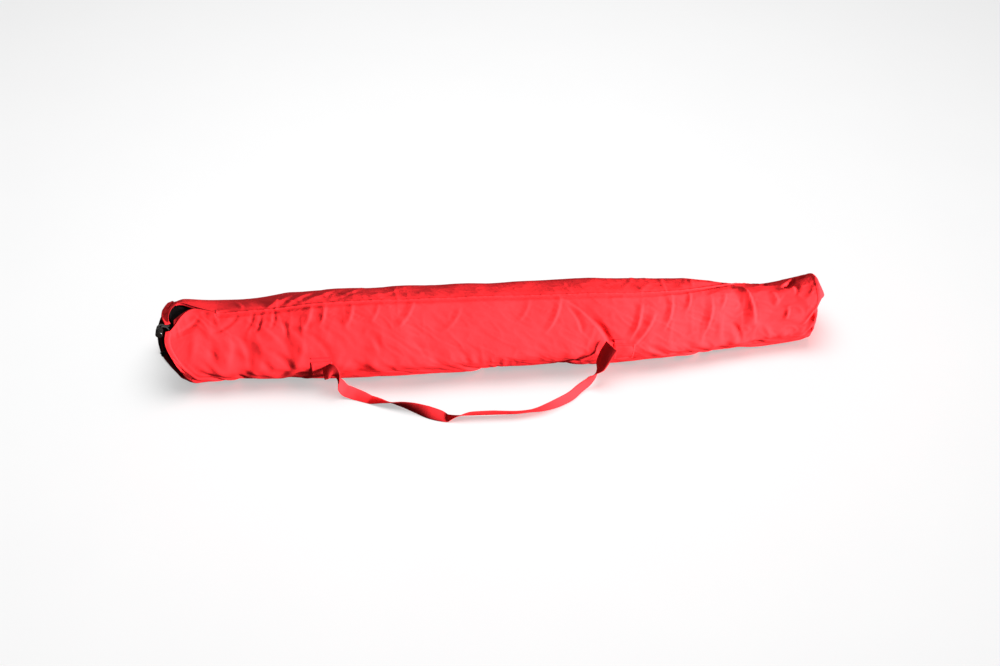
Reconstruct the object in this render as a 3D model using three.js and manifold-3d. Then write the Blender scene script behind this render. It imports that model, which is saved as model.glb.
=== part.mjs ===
// A long, round, padded bag for one pair of skis, in millimetres, +Z up.
// It lies along X with its drawstring mouth at -X and its closed end at +X. The carry strap
// lies on the floor on the -Y side. The origin is on the flattened underside, at mid-length.
import * as THREE from "three";
import { mergeVertices } from "three/addons/utils/BufferGeometryUtils.js";
import Module from "manifold-3d";

const wasm = await Module();
wasm.setup();

// ---- Driving dimensions ----
const MOUTH_X = -812; // the mouth hem, on average
const END_X = 785; // where the tube meets the end panel
const RADIUS = [[MOUTH_X, 100], [-640, 98], [-400, 107], [0, 104], [350, 100], [640, 77], [END_X, 79]];
const BOW = [[MOUTH_X, 12], [-350, 2], [0, 0], [350, 7], [END_X, 36]]; // sideways bend of the centre line
const LIFT = [[MOUTH_X, 0], [500, 0], [650, 0], [END_X, 12]]; // the closed end leaves the floor
const SINK = 6; // how far the round section is pressed flat by the floor
const SHELL_WALL = 1.2;
const CLEAR = 0.3; // left between pieces that touch
const STATIONS = 24; // steps along the shell
const JOIN_STATION = 17; // where the shell's main length meets its tapered end
const AROUND = 36; // steps around the shell

const MOUTH_SLANT = 29; // the back of the mouth stands out past the front
const MOUTH_SADDLE = 20; // and the lower back past the upper back
const MOUTH_TUCK = 14; // the drawcord pulls the two hem ends in
const TUCK_SPREAD = 16; // degrees
const GAP_ANGLE = 55; // middle of the gap between the hem ends; 0 faces -Y and 90 faces up
const GAP_HALF = 5;

const CASING_WIDTH = 13;
const CASING_DEPTH = 7;
const CASING_WALL = 0.9;
const CORD_RADIUS = 2;
const CORD_SIDES = 8;

const SEAM = [[-684, 76], [0, 79], [300, 75], [430, 79], [490, 87], [560, 106], [620, 128], [END_X, 150]];
const SEAM_WIDTH = 5;
const SEAM_HEIGHT = 2.3;
const THREAD = 0.8; // width of a row of stitches

const LINER_OFFSET = -3.8; // outer face of the liner, below the skin
const LINER_THICK = 5.4;
const LINER_BACK_SET = 5; // the liner starts this far behind the casing

const PATCH_LONG = 50;
const PATCH_TALL = 56;
const PATCH_THICK = 1.2;
const STRAP_WIDTH = 30;
const STRAP_THICK = 2.2;
const TAB_THICK = 1.4;
const LEFT_PATCH = { side: "left", x: -441, angle: -13 };
const RIGHT_PATCH = { side: "right", x: 288, angle: -9 };

const LOCK = new THREE.Vector3(-815, -52, 170);
const LOCK_RADIUS = 8.5;
const LOCK_WALL = 1.6;
const LOCK_BACK = -14; // the barrel's closed end, along Y from the cords
const LOCK_FRONT = 7; // and its open end
const BUTTON_TRAVEL = 4;
const CORD_SPACING = 7.2; // between the two cords in the lock
const KNOT = new THREE.Vector3(LOCK.x, LOCK.y, 101);

// ---- Helpers ----
const degrees = THREE.MathUtils.degToRad;

// A smooth curve through [x, value] stations: a cubic between neighbours, level past the ends.
function through(stations) {
  const last = stations.length - 1;
  const slopes = stations.map((_, i) => {
    const before = stations[Math.max(i - 1, 0)];
    const after = stations[Math.min(i + 1, last)];
    return (after[1] - before[1]) / (after[0] - before[0]);
  });
  return (x) => {
    const at = THREE.MathUtils.clamp(x, stations[0][0], stations[last][0]);
    let i = 0;
    while (i < last - 1 && at > stations[i + 1][0]) i += 1;
    const span = stations[i + 1][0] - stations[i][0];
    const t = (at - stations[i][0]) / span;
    const share = 3 * t ** 2 - 2 * t ** 3;
    const value = (1 - share) * stations[i][1] + share * stations[i + 1][1];
    const leaving = t * (1 - t) ** 2 * span * slopes[i];
    const arriving = t ** 2 * (t - 1) * span * slopes[i + 1];
    return value + leaving + arriving;
  };
}

const radiusAt = through(RADIUS);
const bowAt = through(BOW);
const liftAt = through(LIFT);
const seamAngle = through(SEAM);

// A point at x, at an angle around the bag, so far outside its skin (negative is inside).
function skin(x, angle, offset = 0) {
  const radius = radiusAt(x);
  const middle = radius - SINK + liftAt(x);
  const y = bowAt(x) - (radius + offset) * Math.cos(degrees(angle));
  const z = middle + (radius + offset) * Math.sin(degrees(angle));
  return new THREE.Vector3(x, y, Math.max(z, -offset));
}

// Millimetres along the skin as degrees around it.
const arc = (length, x) => THREE.MathUtils.radToDeg(length / radiusAt(x));

function mouthX(angle) {
  const fromGap = THREE.MathUtils.euclideanModulo(angle - GAP_ANGLE + 180, 360) - 180;
  const tuck = MOUTH_TUCK * Math.exp(-((fromGap / TUCK_SPREAD) ** 2));
  const slant = MOUTH_SLANT * Math.cos(degrees(angle));
  return MOUTH_X + slant - MOUTH_SADDLE * Math.sin(degrees(2 * angle)) + tuck;
}

function volumeOf(points, faces) {
  let six = 0;
  for (const [a, b, c] of faces) six += points[a].dot(points[b].clone().cross(points[c]));
  return six / 6;
}

// A closed geometry from points and triangles, turned so that its faces point out.
function closed(points, faces) {
  const outward = volumeOf(points, faces) < 0 ? faces.map(([a, b, c]) => [a, c, b]) : faces;
  const geometry = new THREE.BufferGeometry();
  geometry.setAttribute("position", new THREE.Float32BufferAttribute(points.flatMap((p) => p.toArray()), 3));
  geometry.setIndex(outward.flat());
  return geometry;
}

const quad = (a, b, c, d) => [[a, b, c], [a, c, d]];

// A sheet between two surfaces. place(t, s, side) gives a point, with t along, s across and side 0 or 1.
// A ring joins its last step along to its first.
function sheet({ place, along, across, ring = false }) {
  const rows = ring ? along : along + 1;
  const points = [];
  for (let side = 0; side < 2; side += 1)
    for (let i = 0; i < rows; i += 1)
      for (let j = 0; j <= across; j += 1) points.push(place(i / along, j / across, side));
  const id = (i, j, side) => side * rows * (across + 1) + (i % rows) * (across + 1) + j;
  const faces = [];
  for (let i = 0; i < along; i += 1) {
    for (let j = 0; j < across; j += 1) {
      faces.push(...quad(id(i, j, 0), id(i, j + 1, 0), id(i + 1, j + 1, 0), id(i + 1, j, 0)));
      faces.push(...quad(id(i, j, 1), id(i + 1, j, 1), id(i + 1, j + 1, 1), id(i, j + 1, 1)));
    }
    faces.push(...quad(id(i, 0, 0), id(i + 1, 0, 0), id(i + 1, 0, 1), id(i, 0, 1)));
    faces.push(...quad(id(i, across, 0), id(i, across, 1), id(i + 1, across, 1), id(i + 1, across, 0)));
  }
  if (!ring)
    for (let j = 0; j < across; j += 1) {
      faces.push(...quad(id(0, j, 0), id(0, j, 1), id(0, j + 1, 1), id(0, j + 1, 0)));
      faces.push(...quad(id(along, j, 0), id(along, j + 1, 0), id(along, j + 1, 1), id(along, j, 1)));
    }
  return closed(points, faces);
}

// A sheet that lies on the skin, from offset low to offset high. at(t, s) gives [x, angle].
function onSkin({ at, along, across = 1, low, high, ring = false }) {
  const place = (t, s, side) => skin(...at(t, s), side ? high : low);
  return sheet({ place, along, across, ring });
}

function toManifold(geometry) {
  const plain = geometry.clone();
  plain.deleteAttribute("normal");
  plain.deleteAttribute("uv");
  const merged = mergeVertices(plain, 1e-4);
  const mesh = new wasm.Mesh({
    numProp: 3,
    vertProperties: merged.attributes.position.array,
    triVerts: new Uint32Array(merged.index.array),
  });
  return new wasm.Manifold(mesh);
}

function toGeometry(solid) {
  const mesh = solid.getMesh();
  const geometry = new THREE.BufferGeometry();
  geometry.setAttribute("position", new THREE.BufferAttribute(new Float32Array(mesh.vertProperties), 3));
  geometry.setIndex(new THREE.BufferAttribute(new Uint32Array(mesh.triVerts), 1));
  return geometry;
}

function cut(body, ...tools) {
  let solid = toManifold(body);
  for (const tool of tools) solid = solid.subtract(toManifold(tool));
  return toGeometry(solid);
}

// A round cord along a curve.
function cordAlong(curve, steps, radius = CORD_RADIUS, sides = CORD_SIDES) {
  const section = new THREE.Shape();
  for (let i = 0; i < sides; i += 1) {
    const turn = (i / sides) * 2 * Math.PI;
    const corner = [radius * Math.cos(turn), radius * Math.sin(turn)];
    if (i === 0) section.moveTo(...corner);
    else section.lineTo(...corner);
  }
  section.closePath();
  return new THREE.ExtrudeGeometry(section, { extrudePath: curve, steps, bevelEnabled: false });
}

// ---- Materials ----
const nylon = (color) => new THREE.MeshStandardMaterial({ color, roughness: 0.5, side: THREE.DoubleSide });
const red = () => nylon(0xf0222c);
const darkRed = () => nylon(0xc81620);
const threadRed = () => nylon(0xa8101a);
const linerGrey = () => nylon(0x2a2727);
const black = () => new THREE.MeshStandardMaterial({ color: 0x161312, roughness: 0.35 });
const steel = () => new THREE.MeshStandardMaterial({ color: 0xb8bcc0, roughness: 0.3, metalness: 1 });

const skiBag = new THREE.Group();
function add(name, geometry, material, parent = skiBag) {
  const mesh = new THREE.Mesh(geometry, material);
  mesh.name = name;
  parent.add(mesh);
  return mesh;
}

// ---- Shell, mouth and end ----
const stationX = (k) => THREE.MathUtils.lerp(MOUTH_X, END_X, k / STATIONS);

// The first steps along follow the slanted mouth; the rest are square to the bag.
const SLANTED_STEPS = 3;
function shellX(station, angle) {
  const fade = Math.max(0, 1 - station / SLANTED_STEPS);
  return stationX(station) + (mouthX(angle) - MOUTH_X) * fade;
}

// The lips of the slit, as [x, angle] from the seam's end to the gap in the hem.
const PAST_MOUTH = MOUTH_X - 30;
const UPPER_LIP = [
  [-684, 76.3], [-725, 86], [-762, 97], [-782, 96.5], [-793, 90], [-796.5, 80], [-793, 70],
  [-788, 63], [-786.5, GAP_ANGLE + GAP_HALF], [PAST_MOUTH, GAP_ANGLE + GAP_HALF],
];
const LOWER_LIP = [
  [-684, 75.7], [-724, 84.2], [-741, 82.5], [-768, 69], [-783, 57], [-790, GAP_ANGLE - GAP_HALF],
  [PAST_MOUTH, GAP_ANGLE - GAP_HALF],
];

// A prism through the skin whose outline is a list of [x, angle].
function prism(outline, low, high) {
  const flat = outline.map(([x, angle]) => new THREE.Vector2(x, degrees(angle) * RADIUS[0][1]));
  const caps = THREE.ShapeUtils.triangulateShape(flat, []);
  const count = outline.length;
  const points = [low, high].flatMap((offset) => outline.map(([x, angle]) => skin(x, angle, offset)));
  const faces = caps.flatMap(([a, b, c]) => [[a, b, c], [count + a, count + c, count + b]]);
  for (let i = 0; i < count; i += 1) {
    const next = (i + 1) % count;
    faces.push(...quad(next, i, count + i, count + next));
  }
  return closed(points, faces);
}

const SLIT_REACH = 12; // how far the slit's cutter passes through the skin on each side
const tube = (from, to) => onSkin({
  at: (t, s) => [shellX(THREE.MathUtils.lerp(from, to, s), 360 * t), 360 * t],
  along: AROUND,
  across: Math.round(to - from),
  low: -SHELL_WALL,
  high: 0,
  ring: true,
});
const slit = prism([...UPPER_LIP, ...LOWER_LIP.toReversed()], -SLIT_REACH, SLIT_REACH);
const joinGap = CLEAR / (stationX(1) - stationX(0)); // in stations
add("outer_shell", cut(tube(0, JOIN_STATION - joinGap), slit), red());
add("shell_end", tube(JOIN_STATION, STATIONS), red());

// The closed end: a domed disc sewn to the tube, with a binding tape over the seam.
const DOME = 14;
const PANEL_RINGS = 4;
const panelPlace = (t, s, side) => {
  const rim = skin(END_X, 360 * t, side ? 0 : -SHELL_WALL);
  const middle = new THREE.Vector3(END_X, bowAt(END_X), radiusAt(END_X) - SINK + liftAt(END_X));
  const point = middle.lerp(rim, s);
  const bulge = DOME * Math.cos((s * Math.PI) / 2);
  point.x += CLEAR + bulge + (side ? SHELL_WALL : 0);
  return point;
};
// A disc is a sheet in rings around its middle, where each ring's inner edge is one point.
function disc(place, around, rings) {
  const points = [place(0, 0, 0), place(0, 0, 1)];
  const id = (i, j, side) => 2 + side * rings * around + (j - 1) * around + (i % around);
  for (let side = 0; side < 2; side += 1)
    for (let j = 1; j <= rings; j += 1)
      for (let i = 0; i < around; i += 1) points.push(place(i / around, j / rings, side));
  const faces = [];
  for (let i = 0; i < around; i += 1) {
    faces.push([0, id(i, 1, 0), id(i + 1, 1, 0)]);
    faces.push([1, id(i + 1, 1, 1), id(i, 1, 1)]);
    for (let j = 1; j < rings; j += 1) {
      faces.push(...quad(id(i, j, 0), id(i, j + 1, 0), id(i + 1, j + 1, 0), id(i + 1, j, 0)));
      faces.push(...quad(id(i, j, 1), id(i + 1, j, 1), id(i + 1, j + 1, 1), id(i, j + 1, 1)));
    }
    faces.push(...quad(id(i, rings, 0), id(i, rings, 1), id(i + 1, rings, 1), id(i + 1, rings, 0)));
  }
  return closed(points, faces);
}
add("end_panel", disc(panelPlace, AROUND, PANEL_RINGS), red());

const BINDING_WIDTH = 9;
const BINDING_THICK = 1.1;
add("end_binding", onSkin({
  at: (t, s) => [END_X - BINDING_WIDTH * (1 - s), 360 * t],
  along: AROUND,
  low: 2 * CLEAR,
  high: 2 * CLEAR + BINDING_THICK,
  ring: true,
}), darkRed());

// ---- The long seam ----
const SEAM_START = 2; // the station where the seam begins, at the slit's end
const SEAM_STEPS = 3 * (STATIONS - SEAM_START);
const seamX = (t) => Math.min(stationX(SEAM_START + t * (STATIONS - SEAM_START)), END_X - BINDING_WIDTH - 1);
const alongSeam = (t, shift) => [seamX(t), seamAngle(seamX(t)) + arc(shift, seamX(t))];
const SEAM_BASE = 5 * CLEAR;
add("top_seam_ridge", onSkin({
  at: (t, s) => alongSeam(t, (s - 0.5) * SEAM_WIDTH),
  along: SEAM_STEPS,
  low: SEAM_BASE,
  high: SEAM_BASE + SEAM_HEIGHT,
}), red());
add("top_seam_stitching", onSkin({
  at: (t, s) => alongSeam(t, -SEAM_WIDTH + s * THREAD),
  along: SEAM_STEPS,
  low: SEAM_BASE,
  high: SEAM_BASE + THREAD,
}), threadRed());

// ---- The slit at the mouth ----
const lipAt = (lip, x) => through(lip.map(([a, b]) => [-a, b]))(-x);
const FACING_WIDTH = 9;
const FACING_THICK = 1;
const FACING_LOW = -SHELL_WALL - 2 * CLEAR - FACING_THICK;
const FACING_STEPS = 8;
const FACING_FROM = -700; // just short of the slit's end
function facing(name, lip, to, sign) {
  add(name, onSkin({
    at: (t, s) => {
      const x = THREE.MathUtils.lerp(FACING_FROM, to, t);
      return [x, lipAt(lip, x) + sign * arc(0.5 + s * FACING_WIDTH, x)];
    },
    along: FACING_STEPS,
    low: FACING_LOW,
    high: FACING_LOW + FACING_THICK,
  }), darkRed());
}
const LOWER_CORNER = LOWER_LIP[4]; // each facing ends where its lip turns to the hem
const UPPER_CORNER = UPPER_LIP[3];
facing("slit_facing_front", LOWER_LIP.slice(0, 5), LOWER_CORNER[0] + 1, -1);
facing("slit_facing_back", UPPER_LIP.slice(0, 4), UPPER_CORNER[0] + 2, 1);

const TACK_X = -683;
const TACK_LONG = 16;
const TACK_WIDE = 2.6;
add("slit_bartack", onSkin({
  at: (t, s) => [TACK_X + s * TACK_WIDE, SEAM[0][1] + arc((t - 0.5) * TACK_LONG, TACK_X)],
  along: 3,
  low: 2 * CLEAR,
  high: 4 * CLEAR,
}), threadRed());

// ---- The mouth's hem: a tunnel of folded fabric that holds the drawcord ----
const CASING_INSET = 0.8; // from the mouth's edge
const CASING_TOP = -SHELL_WALL - 4 * CLEAR;
const CASING_STEPS = 44;
const CASING_FROM = GAP_ANGLE + GAP_HALF + 0.5;
const CASING_TO = GAP_ANGLE - GAP_HALF - 0.5 + 360;
const CHANNEL_X = CASING_INSET + CASING_WIDTH / 2;
const CHANNEL_OFFSET = CASING_TOP - CASING_DEPTH / 2;
function hemTunnel(inset, from, to) {
  const x = (s) => CHANNEL_X + (s - 0.5) * (CASING_WIDTH - 2 * inset);
  return onSkin({
    at: (t, s) => {
      const angle = THREE.MathUtils.lerp(from, to, t);
      return [mouthX(angle) + x(s), angle];
    },
    along: CASING_STEPS,
    low: CASING_TOP - CASING_DEPTH + inset,
    high: CASING_TOP - inset,
  });
}
const hem = hemTunnel(0, CASING_FROM, CASING_TO);
// The channel keeps the hem's own steps and only passes its ends.
const END_OVERSHOOT = 0.4;
const channel = hemTunnel(CASING_WALL, CASING_FROM - END_OVERSHOOT, CASING_TO + END_OVERSHOOT);
add("mouth_casing", cut(hem, channel), red());

const channelPoint = (angle) => skin(mouthX(angle) + CHANNEL_X, angle, CHANNEL_OFFSET);
const CORD_STEPS = 44;
const heldCord = [];
for (let i = 0; i <= CORD_STEPS; i += 1)
  heldCord.push(channelPoint(THREE.MathUtils.lerp(CASING_FROM, CASING_TO, i / CORD_STEPS)));
add("drawcord", cordAlong(new THREE.CatmullRomCurve3(heldCord), CORD_STEPS), black());

// The hem's stitching, on each side of the gap, down to where the hem rests on the floor.
const STITCH_INSET = CASING_INSET + CASING_WIDTH - 1.5;
const STITCH_STEPS = 20;
const STITCH_FRONT_END = -42; // degrees; past these the hem lies on the floor
const STITCH_BACK_END = 235;
function mouthStitching(name, from, to) {
  add(name, onSkin({
    at: (t, s) => {
      const angle = THREE.MathUtils.lerp(from, to, t);
      return [mouthX(angle) + STITCH_INSET + s * THREAD, angle];
    },
    along: STITCH_STEPS,
    low: 2 * CLEAR,
    high: 2 * CLEAR + THREAD / 2,
  }), threadRed());
}
mouthStitching("mouth_stitching_front", STITCH_FRONT_END, CASING_TO - 360);
mouthStitching("mouth_stitching_back", CASING_FROM, STITCH_BACK_END);

// ---- The padded liner ----
const LINER_AROUND = 20;
const LINER_STEPS = 24;
const LINER_END = END_X - 6;
const linerMouth = (angle) => mouthX(angle) + CASING_INSET + CASING_WIDTH + LINER_BACK_SET;
function linerX(s, angle) {
  const fade = Math.max(0, 1 - (s * LINER_STEPS) / 2);
  return THREE.MathUtils.lerp(MOUTH_X, LINER_END, s) + (linerMouth(angle) - MOUTH_X) * fade;
}
add("inner_liner", onSkin({
  at: (t, s) => [linerX(s, 360 * t), 360 * t],
  along: LINER_AROUND,
  across: LINER_STEPS,
  low: LINER_OFFSET - LINER_THICK,
  high: LINER_OFFSET,
  ring: true,
}), linerGrey());

const END_PAD_GAP = 1.5;
const endPadPlace = (t, s, side) => {
  const x = LINER_END - (side ? LINER_THICK : 0) - END_PAD_GAP;
  const rim = skin(x, 360 * t, LINER_OFFSET - LINER_THICK - END_PAD_GAP);
  const middle = new THREE.Vector3(x, bowAt(x), radiusAt(x) - SINK + liftAt(x));
  return middle.lerp(rim, s);
};
add("liner_end_pad", disc(endPadPlace, LINER_AROUND, 1), linerGrey());

const LINER_BINDING_WIDTH = 1.6;
add("liner_mouth_binding", onSkin({
  at: (t, s) => [linerMouth(360 * t) - CLEAR - (1 - s) * LINER_BINDING_WIDTH, 360 * t],
  along: LINER_AROUND,
  low: LINER_OFFSET - LINER_THICK,
  high: LINER_OFFSET,
  ring: true,
}), black());

// ---- Strap patches, their stitching and the backing inside the shell ----
const PATCH_ACROSS = 5;
const TAB_LOW = 2 * CLEAR;
const PATCH_LOW = TAB_LOW + TAB_THICK + CLEAR;
const PATCH_TOP = PATCH_LOW + PATCH_THICK;
function patchPiece(name, patch, long, tall, low, thick, material) {
  add(`${name}_${patch.side}`, onSkin({
    at: (t, s) => [patch.x + (s - 0.5) * long, patch.angle + arc((t - 0.5) * tall, patch.x)],
    along: PATCH_ACROSS,
    low,
    high: low + thick,
  }), material);
}

const BOX_INSET = 3;
function boxStitch(patch) {
  const frame = (inset, low, high) => onSkin({
    at: (t, s) => [
      patch.x + (s - 0.5) * (PATCH_LONG - 2 * inset),
      patch.angle + arc((t - 0.5) * (PATCH_TALL - 2 * inset), patch.x),
    ],
    along: PATCH_ACROSS,
    low,
    high,
  });
  const low = PATCH_TOP + CLEAR;
  const outer = frame(BOX_INSET, low, low + THREAD / 2);
  const inner = frame(BOX_INSET + THREAD, low - 1, low + 1);
  add(`box_stitch_${patch.side}`, cut(outer, inner), threadRed());
}

const BACKING_THICK = 1;
const BACKING_LOW = -SHELL_WALL - 3 * CLEAR - BACKING_THICK;
for (const patch of [LEFT_PATCH, RIGHT_PATCH]) {
  patchPiece("strap_tab", patch, PATCH_LONG - 1, STRAP_WIDTH, TAB_LOW, TAB_THICK, darkRed());
  patchPiece("strap_patch", patch, PATCH_LONG, PATCH_TALL, PATCH_LOW, PATCH_THICK, red());
  patchPiece("backing_patch", patch, PATCH_LONG, PATCH_TALL, BACKING_LOW, BACKING_THICK, darkRed());
  boxStitch(patch);
}

// ---- The carry strap ----
// Its route from the left patch down to the floor, along it and up to the right patch.
const HINGE_Z = 80;
const STRAP_Y = -108;
const FLOOR_Z = STRAP_THICK / 2 + CLEAR;
const LEFT_START = LEFT_PATCH.x + PATCH_LONG / 2 + 1 + STRAP_WIDTH / 2;
const RIGHT_START = RIGHT_PATCH.x - PATCH_LONG / 2 - 1 - STRAP_WIDTH / 2;
const STRAP_ROUTE = [
  [LEFT_START, STRAP_Y, HINGE_Z, 0],
  [LEFT_START + 1, STRAP_Y - 2, 45, 0],
  [LEFT_START + 4, STRAP_Y - 8, 16, 0.3],
  [LEFT_START + 18, STRAP_Y - 18, FLOOR_Z + 3, 0.8],
  [-350, -138, FLOOR_Z, 1],
  [-285, -166, FLOOR_Z, 1],
  [-198, -212, FLOOR_Z, 1],
  [-125, -226, FLOOR_Z, 1],
  [-45, -230, FLOOR_Z, 1],
  [35, -227, FLOOR_Z, 1],
  [95, -212, FLOOR_Z, 1],
  [150, -184, FLOOR_Z, 1],
  [196, -146, FLOOR_Z + 4, 0.9],
  [226, -122, 24, 0.4],
  [RIGHT_START - 2, STRAP_Y - 3, 50, 0],
  [RIGHT_START, STRAP_Y, HINGE_Z, 0],
];
const strapCurve = new THREE.CatmullRomCurve3(STRAP_ROUTE.map(([x, y, z]) => new THREE.Vector3(x, y, z)));
const STRAP_STEPS = 60;
const strapPlace = (t, s, side) => {
  const at = t * (STRAP_ROUTE.length - 1);
  const i = Math.min(Math.floor(at), STRAP_ROUTE.length - 2);
  const lean = THREE.MathUtils.lerp(STRAP_ROUTE[i][3], STRAP_ROUTE[i + 1][3], at - i);
  const face = new THREE.Vector3(0, lean - 1, lean).normalize(); // out from the bag, or up from the floor
  const tangent = strapCurve.getTangent(t);
  const across = face.clone().cross(tangent).normalize();
  const normal = tangent.clone().cross(across);
  const point = strapCurve.getPoint(t);
  point.addScaledVector(across, (s - 0.5) * STRAP_WIDTH);
  point.addScaledVector(normal, (side - 0.5) * STRAP_THICK);
  point.z = Math.max(point.z, CLEAR + side * STRAP_THICK);
  return point;
};
add("carry_strap", sheet({ place: strapPlace, along: STRAP_STEPS, across: 1 }), red());

// ---- The cord lock, on the two tails of the drawcord ----
const lock = new THREE.Group();
lock.position.copy(LOCK);
skiBag.add(lock);

const LOCK_SIDES = 24;
const BORE = LOCK_RADIUS - LOCK_WALL;
const EDGE = 1.4; // chamfers
// A lathed piece whose axis is Y and whose profile is [radius, y].
function turned(profile) {
  const points = profile.map(([r, y]) => new THREE.Vector2(r, y));
  const geometry = new THREE.LatheGeometry(points, LOCK_SIDES);
  const solid = mergeVertices(geometry.deleteAttribute("normal").deleteAttribute("uv"), 1e-4);
  const faces = [];
  for (let i = 0; i < solid.index.count; i += 3) {
    const face = [0, 1, 2].map((k) => solid.index.getX(i + k));
    if (new Set(face).size === 3) faces.push(face);
  }
  const place = solid.getAttribute("position");
  const corners = [];
  for (let i = 0; i < place.count; i += 1) corners.push(new THREE.Vector3().fromBufferAttribute(place, i));
  return closed(corners, faces);
}
const HOLE_SIDES = 12;
const HOLE_RADIUS = CORD_RADIUS + 0.5;
function cordHole(sign) {
  const hole = new THREE.CylinderGeometry(HOLE_RADIUS, HOLE_RADIUS, 4 * LOCK_RADIUS, HOLE_SIDES);
  hole.rotateX(Math.PI / 2);
  return hole.translate((sign * CORD_SPACING) / 2, 0, 0);
}
const barrel = turned([
  [0, LOCK_BACK],
  [LOCK_RADIUS - EDGE, LOCK_BACK],
  [LOCK_RADIUS, LOCK_BACK + EDGE],
  [LOCK_RADIUS, LOCK_FRONT - EDGE],
  [LOCK_RADIUS - EDGE / 2, LOCK_FRONT],
  [BORE, LOCK_FRONT],
  [BORE, LOCK_BACK + LOCK_WALL],
  [0, LOCK_BACK + LOCK_WALL],
]);
add("lock_barrel", cut(barrel, cordHole(-1), cordHole(1)), black(), lock);

const PLUNGER_RADIUS = BORE - CLEAR;
const PLUNGER_BACK = -5;
const BUTTON_TOP = LOCK_FRONT + BUTTON_TRAVEL + 2;
const plunger = turned([
  [0, PLUNGER_BACK],
  [PLUNGER_RADIUS, PLUNGER_BACK],
  [PLUNGER_RADIUS, BUTTON_TOP - 2 * EDGE],
  [PLUNGER_RADIUS - EDGE, BUTTON_TOP - EDGE / 2],
  [0, BUTTON_TOP],
]);
// Each slot lets a cord pass at both ends of the button's travel.
const SLOT_BACK = -CORD_RADIUS - 0.4;
const SLOT_FRONT = CORD_RADIUS + BUTTON_TRAVEL + 0.6;
function plungerSlot(sign) {
  const slot = new THREE.BoxGeometry(2 * HOLE_RADIUS - 0.2, SLOT_FRONT - SLOT_BACK, 4 * LOCK_RADIUS);
  return slot.translate((sign * CORD_SPACING) / 2, (SLOT_FRONT + SLOT_BACK) / 2, 0);
}
add("lock_plunger", cut(plunger, plungerSlot(-1), plungerSlot(1)), black(), lock);

class Helix extends THREE.Curve {
  constructor(radius, from, to, turns) {
    super();
    Object.assign(this, { radius, from, to, turns });
  }
  getPoint(t, target = new THREE.Vector3()) {
    const turn = 2 * Math.PI * this.turns * t;
    const y = THREE.MathUtils.lerp(this.from, this.to, t);
    return target.set(this.radius * Math.cos(turn), y, this.radius * Math.sin(turn));
  }
}
const WIRE_RADIUS = 0.4;
const SPRING_RADIUS = 4.6;
const SPRING_TURNS = 4;
const STEPS_PER_TURN = 12;
const springFrom = LOCK_BACK + LOCK_WALL + WIRE_RADIUS + CLEAR;
const springTo = PLUNGER_BACK - WIRE_RADIUS - CLEAR;
const spring = new Helix(SPRING_RADIUS, springFrom, springTo, SPRING_TURNS);
add("lock_spring", cordAlong(spring, SPRING_TURNS * STEPS_PER_TURN, WIRE_RADIUS, 6), steel(), lock);

// ---- The drawcord's tails: out of the hem, down through the lock and on to the knot ----
const LOCK_TOP = LOCK.z + LOCK_RADIUS;
const TAIL_END = KNOT.z + 8.5;
const FRONT_X = LOCK.x + CORD_SPACING / 2;
const BACK_X = LOCK.x - CORD_SPACING / 2;
const TAIL_GAP = 0.25; // degrees between the held cord's end and the tail
const FRONT_TAIL = [
  channelPoint(CASING_TO - 360 + TAIL_GAP).toArray(),
  channelPoint(CASING_TO - 360 + 2).toArray(),
  [-797, -45, 174.5],
  [-803, -48, 181],
  [-808.5, -51, 183.5],
  [FRONT_X, LOCK.y, LOCK_TOP + 1],
  [FRONT_X, LOCK.y, LOCK_TOP - 3],
  [FRONT_X, LOCK.y, LOCK.z],
  [FRONT_X, LOCK.y, LOCK.z - LOCK_RADIUS],
  [FRONT_X, LOCK.y, 150],
  [FRONT_X, LOCK.y, 130],
  [FRONT_X, LOCK.y, TAIL_END],
];
const BACK_TAIL = [
  channelPoint(CASING_FROM - TAIL_GAP).toArray(),
  channelPoint(CASING_FROM - 2).toArray(),
  [-803, -40.5, 178],
  [-809, -44, 184],
  [-815, -49.5, 186],
  [BACK_X, LOCK.y, LOCK_TOP + 2.5],
  [BACK_X, LOCK.y, LOCK_TOP - 3],
  [BACK_X, LOCK.y, LOCK.z],
  [BACK_X, LOCK.y, LOCK.z - LOCK_RADIUS],
  [BACK_X, LOCK.y, 150],
  [BACK_X, LOCK.y, 130],
  [BACK_X, LOCK.y, TAIL_END],
];
const TAIL_STEPS = 36;
for (const [name, route] of [["drawcord_tail_front", FRONT_TAIL], ["drawcord_tail_back", BACK_TAIL]]) {
  const curve = new THREE.CatmullRomCurve3(route.map((p) => new THREE.Vector3(...p)), false, "centripetal");
  add(name, cordAlong(curve, TAIL_STEPS), black());
}

const knot = new THREE.SphereGeometry(8, 14, 10);
knot.scale(1, 0.85, 1);
add("cord_end_knot", knot, black()).position.copy(KNOT);

export default skiBag;
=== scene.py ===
"""A red drawstring ski bag with a padded lining and a flat carry strap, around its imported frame."""
import math

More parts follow.
